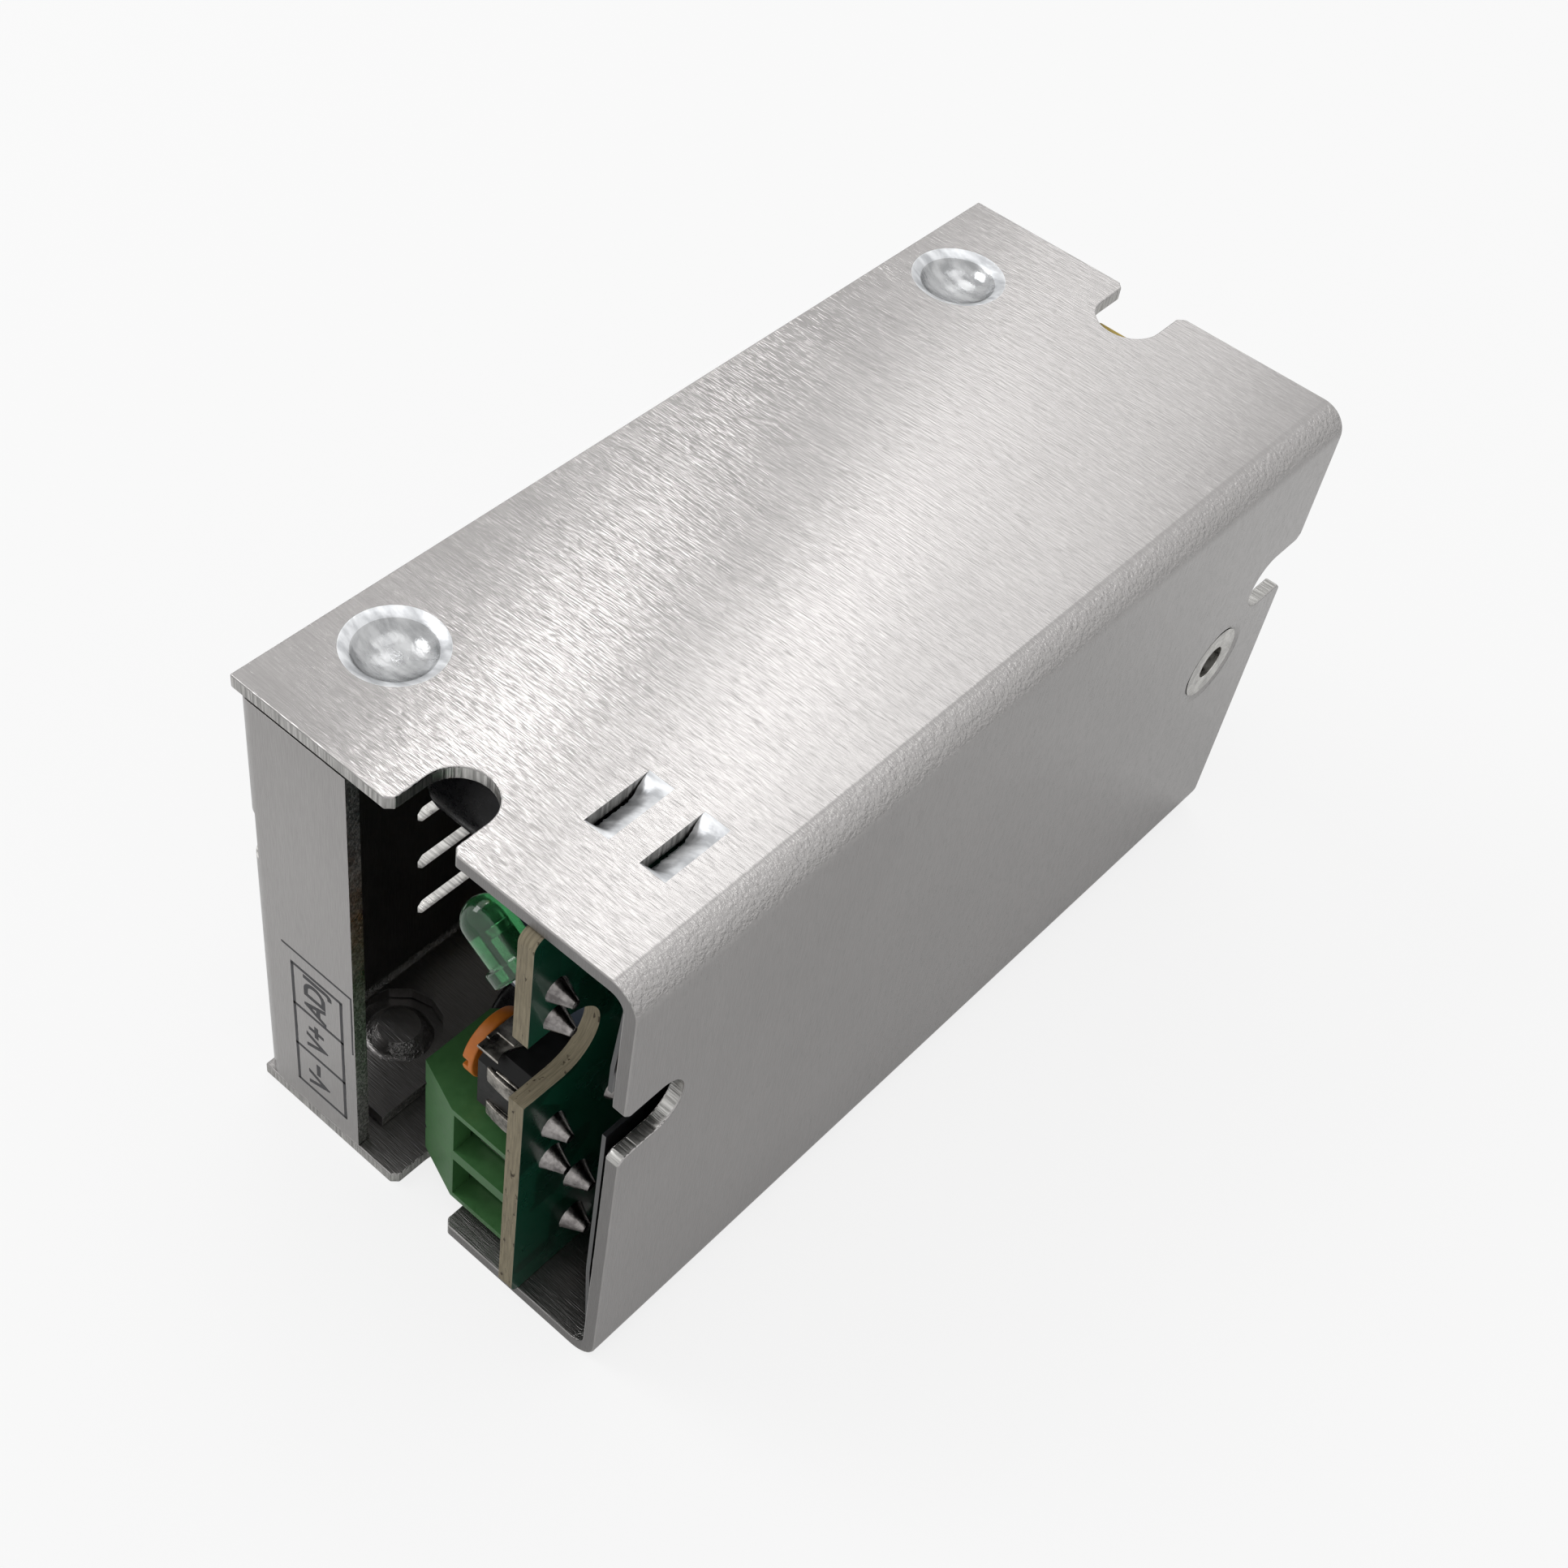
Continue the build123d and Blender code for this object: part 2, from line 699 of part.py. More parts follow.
def trimmer_contacts():
    """The two end legs in front, and the wiper plate with its folded tabs and rear leg."""
    pieces = []
    drop = trimmer_foot + board_sheet
    for x, y in trimmer_leg_places():
        leg = Pos(x, y, 0) * Box(trimmer_sheet, trimmer_leg_w, trimmer_leg_reach, align=BASE)
        leg += Pos(x, y, -drop) * Box(trimmer_sheet, trimmer_pin_w, drop, align=BASE)
        pieces.append(on_board(trimmer_x(), trimmer_z, trimmer_foot) * leg)
        lead_sites.append((trimmer_x() + x, trimmer_z - y, trimmer_pin_w))
    plate = Box(trimmer_depth - 2 * trimmer_corner, trimmer_width + 2 * trimmer_sheet, trimmer_sheet,
                align=BASE)
    for side in (-1, 1):
        tab = Box(trimmer_tab_w, trimmer_sheet, trimmer_tab, align=BASE)
        plate += Pos(0, side * (trimmer_width + trimmer_sheet) / 2, trimmer_sheet - trimmer_tab) * tab
    rear = (trimmer_depth + trimmer_sheet) / 2
    bridge = Box(2 * (trimmer_sheet + trimmer_pin_w), trimmer_leg_w, trimmer_sheet, align=BASE)
    plate += Pos(rear + trimmer_sheet / 2 - trimmer_sheet - trimmer_pin_w, 0, 0) * bridge
    drop += trimmer_body_h
    plate += Pos(rear, 0, -drop) * Box(trimmer_sheet, trimmer_pin_w, drop + trimmer_sheet, align=BASE)
    plate -= extrude(bore(rotor_hub_r + trimmer_plate_gap), amount=trimmer_sheet)
    lead_sites.append((trimmer_x() + rear, trimmer_z, trimmer_pin_w))
    pieces.append(on_board(trimmer_x(), trimmer_z, trimmer_foot + trimmer_body_h) * plate)
    return pieces


def trimmer_rotor():
    """The adjusting rotor: a slotted disc on a hub that turns in the body's bore."""
    disc = Cylinder(rotor_r, rotor_disc_h, align=BASE)
    disc -= Pos(0, 0, rotor_disc_h) * Box(2 * rotor_r, rotor_slot_w, 2 * rotor_slot_depth)
    hub_length = rotor_hub_depth + rotor_lift
    hub = Cylinder(rotor_hub_r, hub_length + shank_overlap, align=BASE)
    rotor = disc + Pos(0, 0, -hub_length) * hub
    return on_board(trimmer_x(), trimmer_z, trimmer_foot + trimmer_body_h + rotor_lift) * rotor


def lamp_frame():
    """The leaning lamp's own frame, at the underside of its flange."""
    start = lamp_lead_rise + lamp_lead_lean * cos(radians(lamp_tilt))
    shift = lamp_lead_lean * sin(radians(lamp_tilt))
    return on_board(-end_x + lamp_setback, lamp_z + shift, start) * Rot(lamp_tilt, 0, 0)


def indicator_lens():
    """The lamp's clear body: flange, barrel and dome."""
    outline = Polyline((0, 0), (lamp_flange_r, 0), (lamp_flange_r, lamp_flange_h), (lamp_r, lamp_flange_h),
                       (lamp_r, lamp_length - lamp_shoulder), (lamp_crown_r, lamp_length), (0, lamp_length),
                       close=True)
    return lamp_frame() * revolve(Plane.XZ * make_face(outline), axis=Axis.Z)


def indicator_leads():
    """The lamp's two bent leads."""
    pieces = []
    x = -end_x + lamp_setback
    for side in (-1, 1):
        z = lamp_z - side * lamp_lead_pitch / 2
        foot = on_board(x, z, -board_sheet).position
        bend = on_board(x, z, lamp_lead_rise).position
        top = (lamp_frame() * Pos(0, side * lamp_lead_pitch / 2, 0)).position
        lead_sites.append((x, z, fine_lead_w))
        long_wire = wire([foot, bend, top + (top - bend)], fine_lead_w)
        pieces.append(split(long_wire, bisect_by=Plane(lamp_frame()), keep=Keep.BOTTOM))
    return pieces


def electrolytic(x, z, radius, height, pitch):
    """A can capacitor with its necked foot and two leads."""
    outline = Polyline((0, 0), (radius - can_crimp, 0), (radius, can_neck_height), (radius, height - can_rim),
                       (radius - can_rim, height), (0, height), close=True)
    can = on_board(x, z, body_lift) * revolve(Plane.XZ * make_face(outline), axis=Axis.Z)
    for side in (-1, 1):
        can += lead(x + side * pitch / 2, z, body_lift)
    return can


def axial_part(x, z, radius, length, pitch):
    """A body lying along X, with its wire bent down to the board at both ends."""
    height = radius + axial_lift
    left, right = x - pitch / 2, x + pitch / 2
    points = [on_board(left, z, -board_sheet).position, on_board(left, z, height).position,
              on_board(right, z, height).position, on_board(right, z, -board_sheet).position]
    for site in (left, right):
        lead_sites.append((site, z, lead_w))
    return on_board(x, z, height) * Rot(0, 90, 0) * Cylinder(radius, length) + wire(points, lead_w)


def box_part(x, z, size_x, size_z, height, leads_x=(0,), leads_z=(0,), lift=body_lift):
    """A moulded body standing on its leads."""
    body = Box(size_x, size_z, height, align=BASE)
    body = chamfer(body.faces().sort_by(Axis.Z)[-1].edges(), moulded_chamfer)
    body = on_board(x, z, lift) * body
    for dx in leads_x:
        for dz in leads_z:
            body += lead(x + dx, z + dz, lift)
    return body


def row(count, pitch):
    """Offsets of a row of pins about its centre."""
    return [(pin - (count - 1) / 2) * pitch for pin in range(count)]


def disc_part(x, z, radius, pitch):
    """A dipped disc standing on edge, parallel to X, with two leads."""
    height = radius + disc_lead_height
    disc = on_board(x, z, height) * Rot(90, 0, 0) * Cylinder(radius, disc_t)
    for dx in row(2, pitch):
        disc += lead(x + dx, z, height)
    return disc


def leaded_chip(x, z, length, pins):
    """A dual in-line package with its two rows of leads."""
    middle = chip_lift + chip_h / 2
    body = chamfer(Box(chip_width, length, chip_h).edges().filter_by(Axis.Z), chip_corner)
    body = on_board(x, z, middle) * body
    reach = (chip_row_pitch - chip_width + fine_lead_w) / 2
    for side in (-1, 1):
        for dz in row(pins, chip_pin_pitch):
            shoulder = Box(reach, chip_shoulder_w, chip_shoulder_t)
            body += on_board(x + side * (chip_width + reach) / 2, z + dz, middle) * shoulder
            body += lead(x + side * chip_row_pitch / 2, z + dz, middle, fine_lead_w)
    return body


def inductor_block(wall):
    """The inductor's rounded block, less the given wall on every side."""
    block_size = (inductor_length - 2 * wall, inductor_width - 2 * wall, inductor_height - 2 * wall)
    body = Box(*block_size)
    return chamfer(body.edges().filter_by(Axis.X), inductor_corner_r - wall)


def inductor_stand():
    return on_board(inductor_x, inductor_z, body_lift + inductor_height / 2)


def inductor_sleeve():
    """The shrink sleeve, with an oval mouth at the output end and a hole under each lead."""
    mouth = SlotOverall(sleeve_mouth_length, sleeve_mouth_width)
    mouth = Rot(0, -90, 0) * extrude(mouth, amount=inductor_length)
    sleeve = inductor_block(0) - inductor_block(sleeve_wall) - mouth
    hole_w = lead_w + 2 * lead_hole_clearance
    for dx in row(2, inductor_pitch):
        hole = Box(hole_w, hole_w, sleeve_wall, align=BASE)
        sleeve -= Pos(dx, 0, -inductor_height / 2) * hole
    return inductor_stand() * sleeve


def inductor_core():
    core = inductor_stand() * inductor_block(sleeve_wall)
    for dx in row(2, inductor_pitch):
        core += lead(inductor_x + dx, inductor_z, body_lift + sleeve_wall)
    return core


def transformer_frame():
    return on_board(transformer_x, transformer_z, transformer_lift)


def window_width():
    return (core_width - core_centre_leg) / 2 - core_leg


def transformer_core(side):
    """One E core: a back, two outer legs and the centre leg."""
    half = (core_length - core_gap) / 2
    from_joint = (Align.MIN, Align.CENTER, Align.CENTER)
    core = Box(half, core_width, core_height, align=from_joint)
    core = chamfer(core.edges().filter_by(Axis.Z).sort_by(Axis.X)[-2:], core_corner)
    for way in (-1, 1):
        window = Box(half - core_leg, window_width(), core_height, align=from_joint)
        core -= Pos(0, way * (core_centre_leg + window_width()) / 2, 0) * window
    core = Pos(core_gap / 2, 0, 0) * core
    if side < 0:
        core = Rot(0, 0, 180) * core
    return transformer_frame() * core


def bobbin_length():
    return core_length - 2 * core_leg - 2 * bobbin_end_gap


def bobbin_tube(length, wall):
    """A rectangular bar round the centre leg, a wall thicker than the core's fit."""
    grow = 2 * (core_fit + wall)
    return Box(length, core_centre_leg + grow, core_height + grow)


def transformer_bobbin():
    """The tube on the centre leg, its two flanges and the pin rails under them."""
    length = bobbin_length()
    flange_w = core_centre_leg + 2 * (window_width() - bobbin_side_gap)
    body = bobbin_tube(length, bobbin_wall)
    rail_z = rail_lift - transformer_lift
    flange_top = winding_height / 2 + flange_rim
    for side in (-1, 1):
        x = side * (length - bobbin_flange) / 2
        body += Pos(x, 0, rail_z) * Box(bobbin_flange, flange_w, flange_top - rail_z, align=BASE)
        rail = Box(core_leg + bobbin_flange, core_width - 2 * rail_end_gap, rail_height, align=BASE)
        body += Pos(side * (length + core_leg - bobbin_flange) / 2, 0, rail_z) * rail
    body = transformer_frame() * (body - bobbin_tube(length, 0))
    for side in (-1, 1):
        for dz in row(transformer_pins, transformer_pin_pitch):
            x = transformer_x + side * (length + core_leg) / 2
            body += lead(x, transformer_z + dz, transformer_pin_height)
    return body


def transformer_winding():
    """The taped winding between the bobbin's flanges."""
    length = bobbin_length() - 2 * bobbin_flange
    width = core_centre_leg + 2 * (window_width() - winding_side_gap)
    coil = Box(length, width, winding_height)
    coil = fillet(coil.edges().filter_by(Axis.X), winding_corner_r)
    return transformer_frame() * (coil - bobbin_tube(length, bobbin_wall))


def choke_stand():
    return on_board(choke_x, choke_z, choke_lift) * Rot(0, 90, 0)


def line_choke_ring():
    ring = Cylinder(choke_ring_r, choke_ring_w) - Cylinder(choke_bore_r, choke_ring_w)
    return choke_stand() * ring


def line_choke_windings():
    """Two wound sleeves around the ring, each over part of its turn, with their leads."""
    width = choke_ring_w + 2 * choke_wire
    sleeve = Cylinder(choke_ring_r + choke_wire, width) - Cylinder(choke_bore_r - choke_wire, width)
    sleeve -= Cylinder(choke_ring_r, choke_ring_w) - Cylinder(choke_bore_r, choke_ring_w)
    pieces = []
    for side in (-1, 1):
        reach = 2 * choke_ring_r
        spread = reach * choke_winding_spread
        sector = make_face(Polyline((0, 0), (spread, side * reach), (-spread, side * reach), close=True))
        coil = choke_stand() * (sleeve & extrude(sector, amount=width, both=True))
        for dx in row(2, choke_ring_w + choke_wire):
            coil += lead(choke_x + dx, choke_z - side * choke_lead_z, choke_lead_height)
        pieces.append(coil)
    return pieces


def circuit_board():
    """The board: two end notches, the pillar hole and a hole for every lead."""
    width = case_width - 2 * sheet - 2 * board_edge_gap
    outline = Pos(0, mid_z) * RectangleRounded(2 * board_end, width, board_corner_r)
    notch = open_notch(-board_end, board_notch_depth, board_notch_w, board_notch_z)
    outline -= notch
    outline -= mirror(notch, about=Plane.YZ)
    outline -= Pos(pillar_x, pillar_z) * bore(screw_hole_r)
    for x, z, lead_width in lead_sites:
        hole_w = lead_width + 2 * lead_hole_clearance
        outline -= Pos(x, z) * Rectangle(hole_w, hole_w)
    return along_y(outline, solder_face, board_face)


def solder_joints():
    """A cone of solder at every hole of the board, closed over the cut lead."""
    joints = []
    for x, z, lead_width in lead_sites:
        foot_r = min(solder_r, lead_width / 2 + solder_margin)
        lean = degrees(atan((foot_r - lead_width / 2) / solder_height))
        joint = extrude(RegularPolygon(foot_r, solder_sides), amount=solder_height, taper=lean)
        joints.append(Pos(x, solder_face, z) * Rot(90, 0, 0) * joint)
    return joints


def build_nodes():
    """Every node of the unit by name. Components come first, because the board needs their leads."""
    nodes = {}
    for label, ways, end in (("output", output_ways, -1), ("input", input_ways, 1)):
        def place(solid):
            return solid if end < 0 else mirror(solid, about=Plane.YZ)

        nodes[label + "_terminal_housing"] = [place(terminal_housing(ways))]
        nodes[label + "_terminal_contacts"] = [place(strip) for strip in terminal_contacts(ways)]
        for way in range(ways):
            nodes["%s_clamp_screw_%d" % (label, way + 1)] = [place(terminal_screw(way))]
            nodes["%s_wire_clamp_%d" % (label, way + 1)] = [place(terminal_clamp(way))]
        register_terminal_pins(ways, -end)

    nodes["trimmer_body"] = [trimmer_body()]
    nodes["trimmer_contacts"] = trimmer_contacts()
    nodes["trimmer_rotor"] = [trimmer_rotor()]
    nodes["indicator_lens"] = [indicator_lens()]
    nodes["indicator_leads"] = indicator_leads()
    nodes["output_capacitor_1"] = [electrolytic(output_can_x, part_high - output_can_r, output_can_r,
                                                output_can_h, output_can_pitch)]
    nodes["output_capacitor_2"] = [electrolytic(second_can_x, part_low + output_can_r, output_can_r,
                                                second_can_h, output_can_pitch)]
    nodes["inductor_sleeve"] = [inductor_sleeve()]
    nodes["inductor_core"] = [inductor_core()]
    nodes["load_resistor"] = [axial_part(load_resistor_x, load_resistor_z, load_resistor_r,
                                         load_resistor_length, load_resistor_pitch)]
    nodes["output_rectifier"] = [axial_part(rectifier_x, rectifier_z, rectifier_r, rectifier_length,
                                            rectifier_pitch)]
    nodes["bias_capacitor"] = [electrolytic(bias_can_x, part_low + bias_can_r, bias_can_r, bias_can_h,
                                            bias_can_pitch)]
    nodes["film_capacitor"] = [box_part(film_body_place_x, part_high - film_body_z / 2, film_body_x,
                                        film_body_z, film_body_h, leads_z=row(2, film_body_pitch))]
    nodes["optocoupler"] = [leaded_chip(transformer_x, part_low + opto_length / 2, opto_length, opto_pins)]
    nodes["transformer_core_1"] = [transformer_core(-1)]
    nodes["transformer_core_2"] = [transformer_core(1)]
    nodes["transformer_bobbin"] = [transformer_bobbin()]
    nodes["transformer_winding"] = [transformer_winding()]
    nodes["bridging_capacitor"] = [disc_part(transformer_x, part_high - disc_t / 2, bridging_disc_r,
                                             bridging_disc_pitch)]
    nodes["bulk_capacitor"] = [electrolytic(bulk_can_x, part_high - bulk_can_r, bulk_can_r, bulk_can_h,
                                            bulk_can_pitch)]
    nodes["controller_chip"] = [leaded_chip(controller_x, controller_z, controller_length, controller_pins)]
    nodes["snubber_resistor"] = [axial_part(snubber_x, snubber_z, snubber_r, snubber_length,
                                            snubber_pitch)]
    nodes["line_choke_ring"] = [line_choke_ring()]
    nodes["line_choke_windings"] = line_choke_windings()
    nodes["bridge_rectifier"] = [box_part(bridge_place_x, bridge_place_z, bridge_x, bridge_z, bridge_h,
                                          leads_x=row(bridge_pins, bridge_pitch), lift=bridge_lift)]
    nodes["fuse"] = [axial_part(fuse_x, fuse_z, fuse_r, fuse_length, fuse_pitch)]
    nodes["thermistor"] = [disc_part(thermistor_x, thermistor_z, thermistor_r, thermistor_pitch)]
    nodes["line_capacitor"] = [box_part(line_body_place_x, line_body_place_z, line_body_x, line_body_z,
                                        line_body_h, leads_x=row(2, line_body_pitch))]

    nodes["base_case"] = [base_case()]
    nodes["cover"] = [cover()]
    nodes["insulating_film"] = [insulating_film()]
    nodes["board_pillar"] = [board_pillar()]
    nodes["board_screw"] = [board_screw()]
    nodes["circuit_board"] = [circuit_board()]
    nodes["solder_joints"] = solder_joints()
    return nodes


def single_solids(shapes):
    """The separate solids held by a list of shapes."""
    return [solid for shape in shapes for solid in shape.solids()]


os.makedirs("parts", exist_ok=True)
for name, shapes in build_nodes().items():
    solids = single_solids(shapes)
    model = solids[0] if len(solids) == 1 else Compound(children=solids)
    export_step(model, os.path.join("parts", name + ".step"))
    print(name, len(solids))
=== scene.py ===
import json
from math import cos, pi, radians, sin

import bmesh
import bpy
from mathutils import Euler, Matrix, Vector

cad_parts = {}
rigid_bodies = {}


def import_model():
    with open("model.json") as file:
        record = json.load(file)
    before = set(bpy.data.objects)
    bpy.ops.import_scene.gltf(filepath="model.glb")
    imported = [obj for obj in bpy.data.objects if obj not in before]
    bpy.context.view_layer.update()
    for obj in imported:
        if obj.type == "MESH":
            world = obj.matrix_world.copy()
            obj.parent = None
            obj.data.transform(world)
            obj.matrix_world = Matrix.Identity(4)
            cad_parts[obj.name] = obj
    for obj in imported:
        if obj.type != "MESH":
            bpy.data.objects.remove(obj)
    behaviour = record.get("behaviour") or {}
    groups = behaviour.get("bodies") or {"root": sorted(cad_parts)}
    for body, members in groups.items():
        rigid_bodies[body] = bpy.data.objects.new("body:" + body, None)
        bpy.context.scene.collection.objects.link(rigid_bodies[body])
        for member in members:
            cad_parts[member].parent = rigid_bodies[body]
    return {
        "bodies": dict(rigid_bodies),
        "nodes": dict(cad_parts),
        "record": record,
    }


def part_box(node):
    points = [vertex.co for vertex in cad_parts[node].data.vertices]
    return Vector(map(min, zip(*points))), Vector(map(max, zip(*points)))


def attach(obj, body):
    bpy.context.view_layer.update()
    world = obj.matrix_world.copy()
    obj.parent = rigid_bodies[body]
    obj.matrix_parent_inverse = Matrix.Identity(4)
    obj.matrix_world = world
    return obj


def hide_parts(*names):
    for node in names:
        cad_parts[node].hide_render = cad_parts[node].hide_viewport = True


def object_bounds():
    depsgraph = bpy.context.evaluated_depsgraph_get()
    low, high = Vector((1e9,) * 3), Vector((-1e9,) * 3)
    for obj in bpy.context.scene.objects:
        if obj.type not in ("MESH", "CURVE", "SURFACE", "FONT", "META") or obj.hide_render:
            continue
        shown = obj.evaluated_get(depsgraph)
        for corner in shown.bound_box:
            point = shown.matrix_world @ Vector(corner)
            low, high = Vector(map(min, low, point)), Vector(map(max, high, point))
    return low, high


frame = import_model()
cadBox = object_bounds()
mm = 0.001


# Shader helpers

class Wire:
    # a socket that can be used in plain arithmetic
    def __init__(self, nodes, socket):
        self.nodes = nodes
        self.socket = socket

    def maths(self, operation, first, second=None):
        values = {0: first} if second is None else {0: first, 1: second}
        return self.nodes.node("Math", {"operation": operation}, values)

    def __add__(self, other):
        return self.maths("ADD", self, other)

    def __radd__(self, other):
        return self.maths("ADD", other, self)

    def __sub__(self, other):
        return self.maths("SUBTRACT", self, other)

    def __rsub__(self, other):
        return self.maths("SUBTRACT", other, self)

    def __mul__(self, other):
        return self.maths("MULTIPLY", self, other)

    def __rmul__(self, other):
        return self.maths("MULTIPLY", other, self)

    def __mod__(self, other):
        return self.maths("FLOORED_MODULO", self, other)

    def __or__(self, other):
        return self.maths("MAXIMUM", self, other)

    def __gt__(self, other):
        return self.maths("GREATER_THAN", self, other)

    def __lt__(self, other):
        return self.maths("LESS_THAN", self, other)

    def __abs__(self):
        return self.maths("ABSOLUTE", self)


class Nodes:
    # a node tree, and one method for any node in it
    def __init__(self, tree):
        self.tree = tree

    def plug(self, socket, value):
        if isinstance(value, Wire):
            self.tree.links.new(value.socket, socket)
        else:
            socket.default_value = value

    def node(self, kind, settings=None, sockets=None, output=0):
        made = self.tree.nodes.new("ShaderNode" + kind)
        for setting, value in (settings or {}).items():
            setattr(made, setting, value)
        for socket, value in (sockets or {}).items():
            self.plug(made.inputs[socket], value)
        return Wire(self, made.outputs[output])

    def ramp(self, value, low, high, start=0.0, end=1.0):
        return self.node("MapRange", {"clamp": True},
                         {"Value": value, "From Min": low, "From Max": high,
                          "To Min": start, "To Max": end})


class Paint(Nodes):
    # one material, with what its finish is usually mixed from
    def __init__(self, name, fixed):
        self.material = bpy.data.materials.new(name)
        self.material.use_nodes = True
        super().__init__(self.material.node_tree)
        self.shader = self.tree.nodes["Principled BSDF"]
        for socket, value in fixed.items():
            self.shader.inputs[socket].default_value = value

    def place(self, stretch=(1, 1, 1)):
        where = self.node("TexCoord", output="Object")
        return self.node("Mapping", {}, {"Vector": where, "Scale": stretch})

    def noise(self, scale, stretch=(1, 1, 1), detail=3.0, rough=0.5):
        return self.node("TexNoise", {}, {"Vector": self.place(stretch), "Scale": scale,
                                          "Detail": detail, "Roughness": rough})

    def axis(self, letter):
        where = self.node("TexCoord", output="Object")
        return self.node("SeparateXYZ", {}, {"Vector": where}, letter)

    def mix(self, amount, first, second):
        colours = [c if isinstance(c, Wire) else (*c, 1) for c in (first, second)]
        return self.node("Mix", {"data_type": "RGBA"},
                         {0: amount, 6: colours[0], 7: colours[1]}, output=2)

    def feed(self, **inputs):
        for name, value in inputs.items():
            self.plug(self.shader.inputs[name.replace("_", " ")], value)

    def bump(self, height, strength, distance):
        self.feed(Normal=self.node("Bump", {}, {"Height": height, "Strength": strength,
                                                "Distance": distance}))
        return self.material


# Paints. A noise bunches round a half, so each ramp reads only the middle of its range.

tight, even, loose, broad = (0.38, 0.62), (0.36, 0.64), (0.35, 0.65), (0.3, 0.7)
rolledSheet = {
    "pale": (0.425, 0.412, 0.405), "deep": (0.368, 0.356, 0.350), "rough": (0.14, 0.18),
    "fine": 14500.0, "long": 760.0, "bandFine": 700.0, "bandLong": 45.0, "cloud": 70.0,
    "peel": 3100.0, "peelShare": 8.5, "bend": (0.10, 0.32), "lean": 0.02,
    "bump": 1.0, "depth": 0.022 * mm,
}
pressedFinish = {"drag": (1500, 500, 900), "fine": 3600.0, "bump": 0.9, "depth": 0.08 * mm}
shearedFinish = {"deep": (0.28, 0.275, 0.265), "pale": (0.60, 0.59, 0.57), "rub": 500.0,
                 "rough": (0.25, 0.42), "bump": 1.0, "depth": 0.07 * mm}
platedFinish = {"wear": 900.0, "fine": 4200.0, "depth": 0.03 * mm}
mouldedFinish = {"mottle": 260.0, "grain": 1800.0, "speckSize": 0.16, "bump": 0.4,
                 "coatRough": 0.12, "depth": 0.02 * mm}


def sheetMetal(name, shade=1.0, rough=1.0):
    # mill-finish sheet: its rolling grain runs along Y on the walls and along Z on the base and
    # flanges, and the bends have the orange peel of stretched metal
    s = rolledSheet
    paint = Paint(name, {"Metallic": 1.0})
    facing = paint.node("NewGeometry", output="Normal")
    up, out = (abs(paint.node("SeparateXYZ", {}, {"Vector": facing}, letter)) for letter in "ZY")
    onWall = up > out + s["lean"]   # a flange faces along X, where both are nought
    bend = paint.ramp(up * out, *s["bend"])
    layers = []
    for fine, long, detail in ((s["fine"], s["long"], 1.0), (s["bandFine"], s["bandLong"], 3.0)):
        onY = paint.noise(1.0, (fine, long, fine), detail)
        onZ = paint.noise(1.0, (fine, fine, long), detail)
        layers.append(onY * onWall + onZ * (1 - onWall))
    grain, band = layers
    cloud = paint.noise(s["cloud"], detail=4.0)
    peel = paint.noise(s["peel"], detail=3.0, rough=0.6)
    tone = paint.ramp(grain * 0.5 + band * 0.15 + cloud * 0.35, *even)
    # a shade below one darkens the whole copy: painted shade, for the inner faces of case and
    # cover
    deep, pale = (tuple(c * shade for c in s[key]) for key in ("deep", "pale"))
    paint.feed(Base_Color=paint.mix(tone, deep, pale),
               Roughness=paint.ramp(band * 0.4 + cloud * 0.6, *tight,
                                    *(r * rough for r in s["rough"])))
    return paint.bump(grain + peel * bend * s["peelShare"], s["bump"], s["depth"])


def pressedMetal(name, deep, pale, rough):
    # where the tool burnished the sheet: brighter and bluer, with short drag lines. The tongue
    # copy's far paler colours are painted light on the tongues and the dimples' flare rings
    s = pressedFinish
    paint = Paint(name, {"Metallic": 1.0})
    drag = paint.noise(1.0, s["drag"])
    fine = paint.noise(s["fine"], detail=2.0)
    paint.feed(Base_Color=paint.mix(paint.ramp(drag, *even), deep, pale),
               Roughness=paint.ramp(drag, *broad, *rough))
    return paint.bump(drag * 0.8 + fine * 0.2, s["bump"], s["depth"])


def shearedMetal(name, stretch):
    # the cut edge of the sheet, with the shear's fine drag lines across its thickness
    s = shearedFinish
    paint = Paint(name, {"Metallic": 1.0})
    lines = paint.noise(1.0, stretch)
    rub = paint.noise(s["rub"], detail=2.0)
    paint.feed(Base_Color=paint.mix(paint.ramp(lines, *even), s["deep"], s["pale"]),
               Roughness=paint.ramp(rub, *broad, *s["rough"]))
    return paint.bump(lines, s["bump"], s["depth"])


def platedMetal(name, pale, deep, rough, bump=0.5):
    s = platedFinish
    paint = Paint(name, {"Metallic": 1.0})
    wear = paint.noise(s["wear"], detail=4.0)
    fine = paint.noise(s["fine"], detail=2.0)
    paint.feed(Base_Color=paint.mix(paint.ramp(wear * 0.7 + fine * 0.3, *tight), deep, pale),
               Roughness=paint.ramp(wear, *broad, *rough))
    return paint.bump(fine * 0.5 + wear * 0.5, bump, s["depth"])


def moulded(name, pale, deep, rough, coat=0.0, speck=0.0, shine=0.5):
    # moulded plastic or lacquer: slight mottling, a fine grain and optional pale specks
    s = mouldedFinish
    paint = Paint(name, {"Coat Weight": coat, "Coat Roughness": s["coatRough"],
                         "Specular IOR Level": shine})
    mottle = paint.noise(s["mottle"], detail=4.0)
    fine = paint.noise(s["grain"])
    colour = paint.mix(paint.ramp(mottle * 0.6 + fine * 0.4, *even), deep, pale)
    if speck:
        dots = paint.node("TexVoronoi", {}, {"Vector": paint.place(), "Scale": s["grain"] * 0.9},
                          output="Distance")
        colour = paint.mix((dots < s["speckSize"]) * speck, colour,
                           tuple(min(1.0, c * 2.2 + 0.1) for c in pale))
    paint.feed(Base_Color=colour,
               Roughness=paint.ramp(fine * 0.5 + mottle * 0.5, *loose, *rough))
    return paint.bump(fine, s["bump"], s["depth"])


